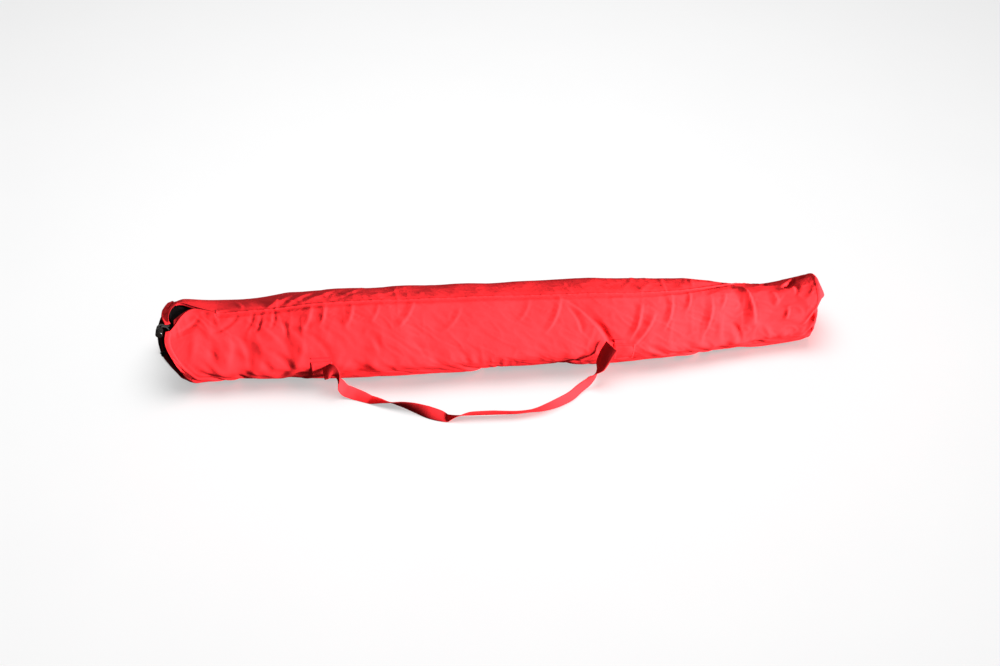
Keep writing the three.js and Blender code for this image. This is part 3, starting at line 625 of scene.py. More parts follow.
def settle_cloth(steps=360):
    """Gives the sheet spare length near its seam and lets it buckle on the load inside."""
    near = np.exp(-near_seam / 0.045)
    still_hood = np.maximum(ramp(xs, -0.65, 0.08), 0.1)
    still_front = np.maximum(ramp(xs, -0.82, 0.1), 0.2)
    still = np.where(from_seam < 0, still_hood, still_front)
    pucker_strength = PUCKERS(xs) * still
    folding = 0.75 * FOLDS(xs) * still
    spare_along = 0.003 + 0.034 * pucker_strength * near + 0.013 * folding
    spare_around = 0.003 + 0.014 * pucker_strength * near + 0.008 * folding
    lean = np.clip((0.05 - from_seam) / 0.03, -0.8, 1)  # the folds below the seam lean the other way
    drag = 0.044 * pucker_strength * near + 0.015 * folding * lean
    spare_along[:, [0, -1]] = 0
    wander = drift(.09, .09, 24)
    wave = (xs + PUCKER_LEAN * from_seam + 0.012 * wander) / 0.031
    seed = 0.0013 * pucker_strength * near * np.sin(2 * math.pi * wave)
    seed += 0.0024 * folding * drift(.060, .10, 30, lean=0.5) * ramp(near_seam, 0, 0.04)
    seed += 0.0005 * drift(.03, .03, 40)
    seed[:, [0, -1]] = 0
    start = base + outward * seed[..., None]
    p = np.ascontiguousarray(np.moveaxis(start, -1, 0)).astype(np.float32)
    pinned = np.zeros((total_rows, total_columns), bool)
    pinned[:2] = True
    open_count = int(open_rows.sum())
    pinned[:open_count, 0] = True
    pinned[:open_count, -1] = True
    held = np.moveaxis(base, -1, 0).astype(np.float32)[:, pinned]

    links = []

    def link(rows_a, columns_a, rows_b, columns_b, stiffness, spare):
        a = (slice(None), rows_a, columns_a)
        b = (slice(None), rows_b, columns_b)
        rest = np.sqrt(((p[a] - p[b]) ** 2).sum(0))
        share = 1 + 0.5 * (spare[rows_a, columns_a] + spare[rows_b, columns_b])
        links.append((a, b, (rest * share).astype(np.float32), stiffness))

    every = slice(None)
    falling = 0.5 * (spare_along + spare_around + drag)
    rising = 0.5 * (spare_along + spare_around - drag)
    for k in (0, 1):
        link(slice(k, -1, 2), every, slice(k + 1, None, 2), every, 0.9, spare_along)
        link(every, slice(k, -1, 2), every, slice(k + 1, None, 2), 0.9, spare_around)
        link(slice(k, -1, 2), slice(0, -1), slice(k + 1, None, 2), slice(1, None), 0.5, falling)
        link(slice(k, -1, 2), slice(1, None), slice(k + 1, None, 2), slice(0, -1), 0.5, rising)
    stretch_count = len(links)
    for k in range(4):
        last = (total_rows - 3 - k) // 4 * 4 + k
        link(slice(k, last + 1, 4), every, slice(k + 2, last + 3, 4), every, 0.10, spare_along)
        last = (total_columns - 3 - k) // 4 * 4 + k
        link(every, slice(k, last + 1, 4), every, slice(k + 2, last + 3, 4), 0.10, spare_around)

    bulge = np.concatenate([shape_offset, np.zeros((CAP_RINGS, total_columns))]).astype(np.float32)
    table_x = np.linspace(-0.9, 0.9, 1801).astype(np.float32)
    table_radius = radius_at(table_x).astype(np.float32)
    table_y = bow_at(table_x).astype(np.float32)
    table_z = middle_z(table_x).astype(np.float32)
    load_inset = (0.0055 - 0.0018 * np.clip(drift(.20, .10, 20), -1.5, 1.5)).astype(np.float32)
    panel_give = np.float32(0.005)
    panel_low = p[:, ROWS + 1:] - panel_give
    panel_high = p[:, ROWS + 1:] + panel_give
    kept_speed = np.float32(0.92)
    weight = np.float32(4e-6)
    speed = np.zeros_like(p)
    for step in range(steps):
        before = p.copy()
        p += speed * kept_speed
        p[2] -= weight
        for number, (a, b, rest, stiffness) in enumerate(links):
            if number >= stretch_count and step % 2:
                continue
            gap = p[b] - p[a]
            length = np.sqrt(gap[0] ** 2 + gap[1] ** 2 + gap[2] ** 2) + np.float32(1e-9)
            gap *= np.float32(0.5 * stiffness) * (1 - rest / length)
            p[a] += gap
            p[b] -= gap
        sewn = 0.5 * (p[:, open_count:, 0] + p[:, open_count:, -1])
        p[:, open_count:, 0] = sewn
        p[:, open_count:, -1] = sewn
        radius = np.interp(p[0], table_x, table_radius)
        dy = p[1] - np.interp(p[0], table_x, table_y)
        dz = p[2] - np.interp(p[0], table_x, table_z)
        reach = np.sqrt(dy**2 + dz**2)
        inside = np.maximum(radius + bulge - load_inset, 0.02)
        end_share = np.clip((p[0] - (END_X - 0.010)) / 0.025, 0, 0.999)
        inside = inside * np.sqrt(1 - end_share**2)
        inside[ROWS + 1:] = 0
        outside = radius + 0.011
        wanted = np.clip(reach, inside, outside)
        factor = wanted / np.maximum(reach, 1e-6)
        p[1] += dy * (factor - 1)
        p[2] += dz * (factor - 1)
        p[2] = np.maximum(p[2], np.float32(0.0008))
        p[:, pinned] = held
        p[:, ROWS + 1:] = np.clip(p[:, ROWS + 1:], panel_low, panel_high)
        speed = p - before
        speed[:, reach < inside] *= np.float32(0.5)
    return np.moveaxis(p, 0, -1).astype(float)


CREASE_SCALE = 0.72
CREASE_GAIN = 0.45  # how much deeper the creases are drawn towards the tapered end
# Creases drawn over the settled cloth: from x, angle to x, angle; height in mm, and how many mm it
# takes to fade towards the mouth and towards the end. A negative height is a sharp valley.
CREASES = [
    # under the long seam, from the mouth to the end
    (-.722, 73, -.782, 46, -4, 5, 12), (-.630, 72, -.696, 48, -4, 12, 6),
    (-.596, 75, -.614, 50, -3, 7, 6), (-.578, 72, -.594, 46, -3, 7, 6), (-.546, 76, -.556, 50, -3, 7, 7),
    (-.458, 77, -.484, 44, 6, 20, 7), (-.426, 77, -.446, 46, 5, 16, 7), (-.362, 76, -.384, 44, 5, 16, 7),
    (-.300, 74, -.322, 50, 3, 10, 6), (-.216, 76, -.262, 42, 5, 16, 7), (-.106, 66, -.150, 36, 3, 12, 8),
    (.060, 74, .030, 44, 2.5, 12, 7), (.136, 77, .092, 26, 4, 14, 7), (.330, 60, .298, 10, 5, 15, 7),
    (.408, 74, .384, 22, 5, 15, 7), (.455, 77, .440, 46, 3.5, 11, 6), (.508, 72, .482, 6, 6, 19, 8),
    (.545, 76, .530, 50, 3.5, 11, 6),
    # broad upright folds near the mouth
    (-.657, 46, -.662, 2, 6, 20, 8), (-.632, 46, -.612, -4, -7, 9, 28),
    (-.698, 38, -.704, 2, -4.5, 10, 18), (-.736, 46, -.752, 8, 4, 14, 10),
    # falling towards the end, across the middle of the front
    (-.535, 66, -.522, 34, -4, 6, 11), (-.574, 56, -.512, 12, -6.5, 8, 22),
    (-.576, 24, -.512, -12, -5, 5, 15), (-.512, 50, -.472, 22, -5, 7, 17),
    (-.476, 44, -.420, 4, -6, 7, 20), (-.398, 46, -.362, 20, -4, 7, 15),
    (-.614, 0, -.586, -20, -5, 7, 14), (-.588, 8, -.562, -14, -5, 6, 13),
    (-.330, 40, -.300, 6, -3.5, 8, 15), (-.235, 30, -.190, 0, -3, 9, 15),
    (-.140, 20, -.090, -8, -2.5, 9, 15), (.150, 64, .186, 24, -4, 7, 13),
    # pulled towards the strap's patches
    (.128, 78, .262, -4, -5, 6, 16), (.364, 48, .288, -4, 6, 17, 8), (.205, 44, .250, 6, -4, 7, 12),
    (-.372, 10, -.420, -24, 3, 10, 8), (.330, 4, .400, -24, -3, 8, 11),
    # the tapered end: one long sickle, a deep pocket on top and small creases at the corners
    (.586, 98, .618, 24, 14, 26, 9), (.562, 28, .586, -4, -4.5, 14, 8), (.640, 20, .662, -12, 3, 11, 12),
    (.664, 78, .680, 54, 4.5, 14, 9), (.652, 104, .676, 118, -9, 9, 8), (.700, 84, .742, 116, -18, 9, 14),
    (.728, 66, .724, 92, -5, 7, 13), (.742, 104, .776, 128, -12, 8, 10), (.704, 46, .696, 24, 3.5, 9, 6),
    (.776, 32, .738, 4, -4.5, 7, 9), (.780, 8, .748, -18, -4.5, 7, 9), (.782, -14, .756, -30, -3.5, 7, 7),
    # long folds over the strip above the seam
    (-.562, 80, -.490, 114, 5, 16, 12), (-.528, 80, -.448, 116, 5.5, 16, 12),
    (-.488, 80, -.396, 118, 4.5, 16, 12), (-.622, 79, -.644, 104, 2, 7, 8),
    (-.420, 84, -.340, 116, 3, 17, 11), (.452, 98, .560, 124, 3, 17, 11),
    (-.330, 84, -.240, 112, 2.5, 17, 11),
    # along the underside of the front
    (-.500, -18, -.380, -34, 3, 10, 10), (-.160, -26, .030, -34, 2, 11, 11),
    (.330, -28, .460, -36, 2.5, 10, 10),
]


def crease_height(angle, x):
    """How far the creases move the cloth out or in."""
    total = np.zeros_like(x)
    for x0, a0, x1, a1, height, before, after in CREASES:
        radius = float(radius_at((x0 + x1) / 2))
        span = np.array([x1 - x0, math.radians(a1 - a0) * radius])
        length = np.linalg.norm(span)
        span /= length
        dx = x - x0
        du = np.radians(angle - a0) * radius
        along = (dx * span[0] + du * span[1]) / length
        bow = 0.35 * length * (along - 0.5) ** 2
        across = (dx * span[1] - du * span[0]) * (-1 if a1 < a0 else 1) + bow - 0.09 * length
        width = np.where(across < 0, before, after) / 1000
        wall = np.clip(1.07 - np.sqrt((across / width) ** 2 + 0.012), 0, 1)
        taper = np.clip(np.sin(np.clip(along * 0.94 + 0.03, 0, 1) * math.pi), 0, 1) ** 0.8
        scale = CREASE_SCALE + CREASE_GAIN * ramp(x, 0, 0.3)
        total += scale * height / 1000 * taper * wall**1.25
    return total


def smooth(cloth, amount):
    """Moves the points inside the cloth towards the middle of their neighbours."""
    middle = (cloth[2:, 1:-1] + cloth[:-2, 1:-1] + cloth[1:-1, 2:] + cloth[1:-1, :-2]) / 4
    cloth[3:-1, 1:-1] += amount * (middle[2:] - cloth[3:-1, 1:-1])


settled = settle_cloth()
for _ in range(3):
    smooth(settled, 0.5)

# Broad swells and sharper wrinkles, but few near the mouth, where the cord pulls the cloth smooth.
calm = np.where(from_seam < 0, ramp(xs, -0.63, 0.08), ramp(xs, -0.80, 0.08))
swells = 0.0015 * fold_strength * calm * drift(.055, .075, 30, lean=-0.5) * ramp(near_seam, 0, 0.03)
wrinkles = np.clip(1 - np.abs(drift(.040, .030, 30, lean=-0.7)), -0.2, 1)
wrinkle_height = 0.0014 * np.minimum(0.3 + 0.8 * fold_strength, 0.8)
swells += wrinkle_height * calm * wrinkles * ramp(near_seam, 0, 0.01)

facing_angle = front_angle(cap_angle)
outline = hump(facing_angle, 124, 24) + hump(facing_angle, -50, 18)
moved = crease_height(facing_angle, xs) * (1 - 0.5 * outline) + swells * (1 - 0.8 * outline)
# The front's lower edge turns under, and the stitching pulls a groove just below the seam.
under = 0.0035 * hump(facing_angle, -4, 9) - 0.0055 * hump(facing_angle, -29, 14)
moved += under * ramp(xs, -0.78, 0.08) * ramp(xs, END_X, -0.10)
groove = 0.0030 * hump(from_seam, 0.0065, 0.0032)
moved -= groove * (xs > SLIT_END) * (xs < END_X - 0.02)
DEEPEST_CREASE = 0.009
settled += outward * np.maximum(moved, -DEEPEST_CREASE)[..., None]
soften = 0.7 * ramp(from_seam, 0.05, 0.03) * ramp(xs, -0.25, -0.10)
for _ in range(3):
    smooth(settled, soften[3:-1, 1:-1, None])
settled[..., 2] = np.maximum(settled[..., 2], SHELL_WALL)


def halve(values, axis):
    """Doubles the steps along an axis, with each new value on a cubic through its neighbours."""
    values = np.moveaxis(values, axis, 0)
    padded = np.concatenate([[2 * values[0] - values[1]], values, [2 * values[-1] - values[-2]]])
    between = (9 * (padded[1:-2] + padded[2:-1]) - padded[:-3] - padded[3:]) / 16
    result = np.empty((2 * len(values) - 1, *values.shape[1:]))
    result[::2] = values
    result[1::2] = between
    return np.moveaxis(result, 0, axis)


def finer(values):
    return halve(halve(values, 0), 1)


fine_cloth = finer(settled)
fine_rows, fine_columns = fine_cloth.shape[:2]
seam_row = 2 * int(open_rows.sum())
end_row = 2 * ROWS
ids = np.arange(fine_rows * fine_columns).reshape(fine_rows, fine_columns)
ids[seam_row:, -1] = ids[seam_row:, 0]
normals = vertex_normals(fine_cloth.reshape(-1, 3), grid_faces(ids))
flipped = (normals.reshape(fine_cloth.shape) * finer(outward)).sum() < 0  # the grid's faces look inwards
if flipped:
    normals = -normals
normals = normals.reshape(fine_cloth.shape)
normals[seam_row:, -1] = normals[seam_row:, 0]
cloth_map = finer(np.stack([xs, from_seam, 0 * xs], -1))
cloth_map[:, -1] = 2 * cloth_map[:, -2] - cloth_map[:, -3]


def curvature(points, up):
    """How far each point stands above its neighbours, from -1 in a fold to 1 on a ridge."""
    reach = 3
    around = np.zeros_like(points)
    for step, axis in ((reach, 0), (-reach, 0), (reach, 1), (-reach, 1)):
        around += np.roll(points, step, axis)
    height = ((points - around / 4) * up).sum(-1)
    height[:reach] = height[-reach:] = 0
    height[:, :reach] = height[:, -reach:] = 0
    return np.clip((height - np.median(height)) / 0.0012, -1, 1)


# The cloth's relief, which its material turns into a painted highlight on ridges and painted shade in folds.
painted_relief_map = curvature(fine_cloth, normals)


def cut_piece(name, rows, slot, replaced, close=False):
    """The part of the cloth between two rows, as a closed sheet of the shell's thickness."""
    chosen = np.unique(ids[rows])
    renumber = np.full(ids.size, -1)
    renumber[chosen] = np.arange(len(chosen))
    faces = grid_faces(ids[rows])[:, ::-1] if flipped else grid_faces(ids[rows])
    points = fine_cloth.reshape(-1, 3)[chosen]
    ups = normals.reshape(-1, 3)[chosen]
    maps = cloth_map.reshape(-1, 3)[chosen]
    painted_relief = painted_relief_map.reshape(-1)[chosen]
    faces = renumber[faces]
    if close:
        last_ring = renumber[ids[rows][-1][:-1]]
        middle = points[last_ring].mean(0)
        points = np.concatenate([points, [middle]])
        ups = np.concatenate([ups, [unit(ups[last_ring].mean(0))]])
        maps = np.concatenate([maps, [maps[last_ring].mean(0)]])
        painted_relief = np.concatenate([painted_relief, [0]])
        nxt = np.roll(last_ring, -1)
        tip = np.full(len(last_ring), len(points) - 1)
        fan = [last_ring, nxt, tip, tip] if flipped else [last_ring, tip, tip, nxt]
        faces = np.concatenate([faces, np.stack(fan, 1)])
    solid, solid_faces = thicken(points, faces, SHELL_WALL, ups)
    # The relief's painted highlight and painted shade are turned over on the inner side; back marks the
    # coated inner side.
    twice = {"cloth": np.concatenate([maps, maps]), "ridge": np.concatenate([painted_relief, -painted_relief]),
             "back": np.repeat([0.0, 1.0], len(points))}
    return add_piece(name, solid, solid_faces, slot, replaced=replaced, attributes=twice)


shell = cut_piece("outer_shell", slice(0, end_row + 1), "shell_nylon", ["outer_shell", "shell_end"])
panel = cut_piece("end_panel", slice(end_row, fine_rows), "shell_nylon", ["end_panel"], close=True)


# ---- What is sewn to the cloth follows it ----
def on_cloth(x, angle, offset=0.0):
    """Points over the settled cloth at x and an angle around the bag, and the cloth's normals there."""
    x, angle = np.broadcast_arrays(np.asarray(x, float), np.asarray(angle, float))
    nominal = x - (mouth_x(angle) - MOUTH_X) * mouth_share(x)
    row = np.interp(nominal, row_x, np.arange(len(row_x))) * 2
    low = np.interp(nominal, row_x, lip_low)
    spread = 360 - (np.interp(nominal, row_x, lip_high) - low)
    column = np.clip(((low - angle) % 360) / spread, 0, 1) * 2 * COLUMNS
    j = np.clip(row.astype(int), 0, end_row - 1)
    i = np.clip(column.astype(int), 0, fine_columns - 2)
    v = (row - j)[..., None]
    u = (column - i)[..., None]
    result = []
    for values in (fine_cloth, normals):
        low_row = values[j, i] * (1 - u) + values[j, i + 1] * u
        high_row = values[j + 1, i] * (1 - u) + values[j + 1, i + 1] * u
        result.append(low_row * (1 - v) + high_row * v)
    up = unit(result[1])
    return result[0] + up * np.asarray(offset, float)[..., None], up


def arc(length, x):
    """Metres along the skin as degrees around it."""
    return np.degrees(length / radius_at(x))


def stitches(name, path, ups, pitch=0.0042, thick=0.00042, share=0.72):
    """A row of separate stitches along a path, each one a short arch that dips into the cloth.

    It stands for the CAD node of the same name."""
    along = length_along(path)
    count = max(int(along[-1] / pitch), 1)
    starts = (np.arange(count) + 0.5 * (1 - share)) * along[-1] / count
    steps, sides = 7, 6
    t = np.linspace(0, 1, steps)
    where = starts[:, None] + t[None] * share * along[-1] / count
    centre = np.stack([np.interp(where, along, path[:, k]) for k in range(3)], -1)
    up = unit(np.stack([np.interp(where, along, ups[:, k]) for k in range(3)], -1))
    arch = np.sin(t * math.pi) ** 0.5
    centre = centre + up * (thick * (1.5 * arch - 0.6))[None, :, None]
    forward = unit(np.gradient(centre, axis=1))
    side = unit(np.cross(up, forward))
    over = np.cross(forward, side)
    turn = np.arange(sides) / sides * 2 * math.pi
    reach = thick * np.sqrt(np.clip(np.sin(np.clip(t, 0.04, 0.96) * math.pi), 0, 1))[None, :, None, None]
    ring = centre[:, :, None] + reach * (np.cos(turn)[:, None] * side[:, :, None]
                                         + np.sin(turn)[:, None] * over[:, :, None])
    numbers = np.arange(ring[..., 0].size).reshape(count, steps, sides)
    faces = [grid_faces(one, ring=True) for one in numbers]
    start_cap = [[0, 1, 2, 3], [0, 3, 4, 5]]
    end_cap = [[3, 2, 1, 0], [5, 4, 3, 0]]
    caps = [np.concatenate([one[0][start_cap], one[-1][end_cap]]) for one in numbers]
    faces = np.concatenate(faces + caps)[:, ::-1]
    return add_piece(name, ring.reshape(-1, 3), faces, "thread", replaced=[name])


def band(name, x, angle, low, high, slot, replaced=(), ring=False, ridge=0.0):
    """A closed strip over the cloth: x and angle are grids, low and high its offsets."""
    points, ups = on_cloth(x, angle, high)
    numbers = np.arange(points[..., 0].size).reshape(points.shape[:2])
    faces = grid_faces(numbers, ring=ring)
    flat = points.reshape(-1, 3)
    if (vertex_normals(flat, faces) * ups.reshape(-1, 3)).sum() < 0:
        faces = faces[:, ::-1]
    thick = np.broadcast_to(np.asarray(high) - np.asarray(low), points.shape[:2]).reshape(-1, 1)
    solid, solid_faces = thicken(flat, faces, thick, ups.reshape(-1, 3))
    cloth = np.stack([x + 0 * angle, np.radians(angle) * radius_at(x), 0 * x * angle], -1).reshape(-1, 3)
    # ridge is painted light along the strip: a painted highlight above 0, painted shade below.
    painted_relief = np.broadcast_to(ridge, points.shape[:2]).reshape(-1)
    return add_piece(name, solid, solid_faces, slot, replaced=replaced,
                     attributes={"cloth": np.concatenate([cloth, cloth]), "ridge": np.tile(painted_relief, 2)})


# The long seam: one edge folded over the other and stitched down.
BINDING_WIDTH = 0.009
seam_x = np.linspace(SLIT_END, END_X - BINDING_WIDTH, 640)
RIDGE_SECTION = [(-.0024, -.0004), (-.0026, .0006), (-.0019, .0017), (-.0006, .0023), (.0008, .0019),
                 (.0020, .0010), (.0027, -.0004)]
spans = np.array([s for s, _ in RIDGE_SECTION])
heights = np.array([h for _, h in RIDGE_SECTION])
wavy = 1 + 0.16 * np.sin(seam_x * 2 * math.pi / 0.029) + 0.10 * np.sin(seam_x * 2 * math.pi / 0.0127)
ridge_x = np.broadcast_to(seam_x[:, None], (len(seam_x), len(spans)))
ridge_angle = seam_at(seam_x)[:, None] + arc(spans[None], seam_x[:, None])
ridge_height = heights[None] * wavy[:, None]
seam_painted_shade = np.linspace(-1.0, 0.2, len(spans))  # painted shade on its lower side, where it lies in the stitched groove, rising to a faint painted highlight on top
band("top_seam_ridge", ridge_x, ridge_angle, -0.0006, ridge_height, "shell_nylon", ["top_seam_ridge"],
     ridge=seam_painted_shade)
SEAM_WIDTH = 0.005
stitch_x = np.linspace(SLIT_END + 0.002, END_X - BINDING_WIDTH - 0.001, 900)
path, ups = on_cloth(stitch_x, seam_at(stitch_x) - arc(SEAM_WIDTH * 0.9, stitch_x), 0.0002)
stitches("top_seam_stitching", path, ups)

# The end panel's binding tape.
around = np.linspace(0, 360, 181)[:-1]
tape_s = np.array([0, .15, .5, .85, 1])
tape_x = np.broadcast_to((END_X - BINDING_WIDTH * (1 - tape_s))[:, None], (5, 180))
tape_angle = np.broadcast_to(around[None], (5, 180))
tape_high = np.array([.0002, .0003, .0004, .0003, .0002])[:, None] + 0 * tape_x
band("end_binding", tape_x, tape_angle, -0.0004, tape_high, "shell_nylon", ["end_binding"], ring=True)

# ---- The mouth: a hem tunnel for the drawcord, its stitching and the cord in it ----
hem_angle = np.linspace(CASING_FROM, CASING_TO, 360)
HEM_SECTION = 14
turn = np.arange(HEM_SECTION) / HEM_SECTION * 2 * math.pi
gather = 1 + 0.10 * np.sin(np.radians(hem_angle) * 31) + 0.07 * np.sin(np.radians(hem_angle) * 53 + 1)
hem_x = (mouth_x(hem_angle)[:, None] + CHANNEL_X - 0.0012
         + (CASING_WIDTH / 2 + 0.0008) * np.sign(np.cos(turn)) * np.abs(np.cos(turn)) ** 0.7)
hem_depth = (CHANNEL_OFFSET + 0.0012 + (CASING_DEPTH / 2 + 0.0004) * gather[:, None]
             * np.sign(np.sin(turn)) * np.abs(np.sin(turn)) ** 0.8)
hem_depth += curl_in(hem_x, hem_angle[:, None])
hem = skin(hem_x, hem_angle[:, None] + 0 * hem_x, hem_depth)
hem_points = np.concatenate([hem.reshape(-1, 3), hem.mean(1)[[0, -1]]])
hem_faces = closed_tube_faces(np.arange(hem_x.size).reshape(hem_x.shape))
inner_side = np.broadcast_to(np.sin(turn) < 0.3, hem_x.shape).reshape(-1)
hem_back = np.concatenate([inner_side, [1, 1]]).astype(float)
hem_around = np.radians(hem_angle)[:, None] * 0.1 + 0 * hem_x
hem_cloth = np.stack([hem_x, hem_around, 0 * hem_x], -1).reshape(-1, 3)
add_piece("mouth_casing", hem_points, hem_faces, "shell_nylon", replaced=["mouth_casing"],
          attributes={"cloth": np.concatenate([hem_cloth, hem_cloth[:2]]), "back": hem_back})
STITCH_INSET = CASING_INSET + CASING_WIDTH - 0.0015
for side_name, start, stop in (("front", -42, CASING_TO - 360), ("back", CASING_FROM, 235)):
    angle = np.linspace(start, stop, 240)
    path, ups = on_cloth(mouth_x(angle) + STITCH_INSET, angle, 0.0002)
    stitches(f"mouth_stitching_{side_name}", path, ups)

# ---- Inside: the facings of the slit and the padded lining ----
FACING_FROM = -0.697
FACING_DEPTH = 0.0095
FACING_ROWS = 60
FACING_COLUMNS = 7


def facing(name, lip, to, sign, peek):
    """A strip turned in along a lip of the slit, which shows by peek past the lip."""
    x = np.linspace(FACING_FROM, to, FACING_ROWS)
    s = np.linspace(-peek, FACING_DEPTH, FACING_COLUMNS)
    grid_x = np.broadcast_to(x[:, None], (FACING_ROWS, FACING_COLUMNS))
    taper = ramp(x, FACING_FROM, -0.03)[:, None]
    angle = lip(x)[:, None] + sign * arc(np.where(s < 0, s * taper, s), grid_x)
    points = skin(grid_x, angle, -SHELL_WALL - 0.0008 - 0.0015 * (s < 0))
    numbers = np.arange(FACING_ROWS * FACING_COLUMNS).reshape(FACING_ROWS, FACING_COLUMNS)
    faces = grid_faces(numbers)
    flat = points.reshape(-1, 3)
    if vertex_normals(flat, faces)[:, 2].sum() < 0:
        faces = faces[:, ::-1]
    solid, solid_faces = thicken(flat, faces, 0.001)
    add_piece(name, solid, solid_faces, "trim_nylon", replaced=[name])


facing("slit_facing_front", lower_lip, -0.782, -1, 0.009)
facing("slit_facing_back", upper_lip, -0.780, 1, 0.003)


def liner_mouth(angle):
    return mouth_x(angle) + CASING_INSET + CASING_WIDTH + LINER_BACK_SET


LINER_END = END_X - 0.042
LINER_SUNK = 0.0065  # the settled cloth dips this far at the mouth
liner_s = np.concatenate([np.linspace(0, 0.08, 24, endpoint=False), np.linspace(0.08, 1, 120)])
liner_angle = np.linspace(0, 360, 97)[:-1]
grid_s, grid_angle = np.meshgrid(liner_s, liner_angle, indexing="ij")
liner_fade = np.clip(1 - grid_s * 12, 0, 1)  # the lining's edge follows the mouth's
liner_x = MOUTH_X + (LINER_END - MOUTH_X) * grid_s + (liner_mouth(grid_angle) - MOUTH_X) * liner_fade
puff = 0.0006 * np.sin(liner_x * 2 * math.pi / 0.06 + 2 * np.sin(np.radians(grid_angle) * 2))
puff -= 0.0003 * np.cos(np.radians(grid_angle) * 9 + liner_x * 30)
sunk = LINER_SUNK + 0.012 * ramp(liner_x, -0.77, 0.07)  # and its creases dip further
outer = skin(liner_x, grid_angle, LINER_OFFSET - sunk + puff)
inner = skin(liner_x, grid_angle, LINER_OFFSET - sunk - LINER_THICK)
numbers = np.arange(grid_s.size).reshape(grid_s.shape)
count = grid_s.size
faces_out = grid_faces(numbers, ring=True)[:, ::-1]
nxt = np.roll(np.arange(len(liner_angle)), -1)
start_rim = np.stack([numbers[0], numbers[0][nxt], numbers[0][nxt] + count, numbers[0] + count], 1)
end_rim = np.stack([numbers[-1][nxt], numbers[-1], numbers[-1] + count, numbers[-1][nxt] + count], 1)
liner_faces = np.concatenate([faces_out, faces_out[:, ::-1] + count, start_rim, end_rim])
liner_cloth = np.stack([liner_x, np.radians(grid_angle) * 0.1, 0 * liner_x], -1).reshape(-1, 3)
liner = add_piece("inner_liner", np.concatenate([outer.reshape(-1, 3), inner.reshape(-1, 3)]), liner_faces,
                  "liner_padded", replaced=["inner_liner"],
                  attributes={"cloth": np.concatenate([liner_cloth, liner_cloth])})
edge_angle = np.linspace(0, 360, 161)[:-1]
edge = skin(liner_mouth(edge_angle) - 0.0002, edge_angle, LINER_OFFSET - LINER_SUNK - LINER_THICK / 2)
edge_points, edge_faces, edge_cloth = tube(edge, LINER_THICK / 2 + 0.0002, sides=14, closed=True)
add_piece("liner_mouth_binding", edge_points, edge_faces, "liner_binding", replaced=["liner_mouth_binding"],
          attributes={"cloth": edge_cloth})

# ---- Strap patches ----
def patch_grid(patch, long, tall, rim_drop):
    """A grid over a patch whose border is doubled, so that the rim stands a little lower."""
    t = np.array([0, .012, .03, .06, .5, .94, .97, .988, 1])
    s = np.concatenate([t[:4], np.linspace(.06, .94, 9), t[5:]])
    grid_t, grid_s = np.meshgrid(s, s, indexing="ij")
    x, angle = PATCHES[patch]
    drop = np.minimum(np.minimum(grid_t, 1 - grid_t), np.minimum(grid_s, 1 - grid_s))
    rounding = rim_drop * np.clip(1 - drop / 0.03, 0, 1) ** 2
    return x + (grid_s - 0.5) * long, angle + arc((grid_t - 0.5) * tall, x), rounding


TAB_LOW = 2 * CLEAR
PATCH_LOW = TAB_LOW + TAB_THICK + CLEAR
PATCH_TOP = PATCH_LOW + PATCH_THICK
PATCH_SHOWN = 0.6 * PATCH_TOP  # the cloth under the patch is pressed in by its stitching
for side_name, (x, angle) in PATCHES.items():
    px, pa, rounding = patch_grid(side_name, PATCH_LONG, PATCH_TALL, 0.0009)
    band(f"strap_patch_{side_name}", px, pa, 0.0001, PATCH_SHOWN - rounding, "shell_nylon",
         [f"strap_patch_{side_name}", f"strap_tab_{side_name}"])
    inset = 0.0035
    half_long = PATCH_LONG / 2 - inset
    half_tall = PATCH_TALL / 2 - inset
    box = [(-1, -1), (1, -1), (1, 1), (-1, 1), (-1, -1)]
    t = np.linspace(0, 4, 401)
    cx = np.interp(t, range(5), [c[0] * half_long for c in box])
    ca = np.interp(t, range(5), [c[1] * half_tall for c in box])
    path, ups = on_cloth(x + cx, angle + arc(ca, x), PATCH_SHOWN + 0.0001)
    stitches(f"box_stitch_{side_name}", path, ups, pitch=0.0036)

# The bar tack across the slit's end.
tack_t = np.linspace(-0.008, 0.008, 15)
zig = SLIT_END + 0.0022 + 0.0013 * np.resize([-1, 1], 15)
path, ups = on_cloth(zig, 76 + arc(tack_t, SLIT_END), 0.0004)
path = np.stack([np.interp(np.linspace(0, 14, 281), range(15), path[:, k]) for k in range(3)], 1)
ups = np.stack([np.interp(np.linspace(0, 14, 281), range(15), ups[:, k]) for k in range(3)], 1)
stitches("slit_bartack", path, ups, pitch=0.0027, share=0.95, thick=0.0005)

# ---- The carry strap: a flat band that leaves each patch folded and lies twisted on the floor ----
# x, y, lowest height, roll from facing the viewer's side, width. Positions in millimetres.
STRAP = [
    (-438, -114, 56, 190, 30), (-426, -117, 61, 184, 34), (-415, -119, 60, 165, 34),
    (-407, -120, 50, 95, 28), (-401, -121, 35, 45, 27), (-395, -122, 20, 30, 28), (-386, -124, 8, 12, 30),
    (-368, -128, 1.4, 20, 30), (-340, -139, 1.4, 42, 30), (-312, -152, 1.4, 62, 29),
    (-288, -165, 1.4, 86, 26), (-262, -178, 1.4, 112, 26), (-230, -197, 1.4, 140, 29),
    (-196, -214, 1.4, 168, 30), (-162, -222, 1.4, 205, 28), (-133, -226, 1.4, 262, 24),
    (-100, -228, 1.4, 290, 28), (-45, -230, 1.4, 292, 29), (10, -229, 1.4, 286, 28),
    (48, -224, 1.4, 285, 26), (78, -219, 1.4, 305, 28), (112, -207, 1.4, 322, 28),
    (148, -186, 1.4, 328, 27), (174, -161, 2, 325, 26), (192, -147, 6, 322, 25), (203, -140, 15, 318, 24),
    (211, -136, 25, 300, 24), (217, -133, 38, 268, 26), (224, -130, 54, 222, 34),
    (237, -124, 80, 205, 38), (252, -118, 105, 205, 38),
]
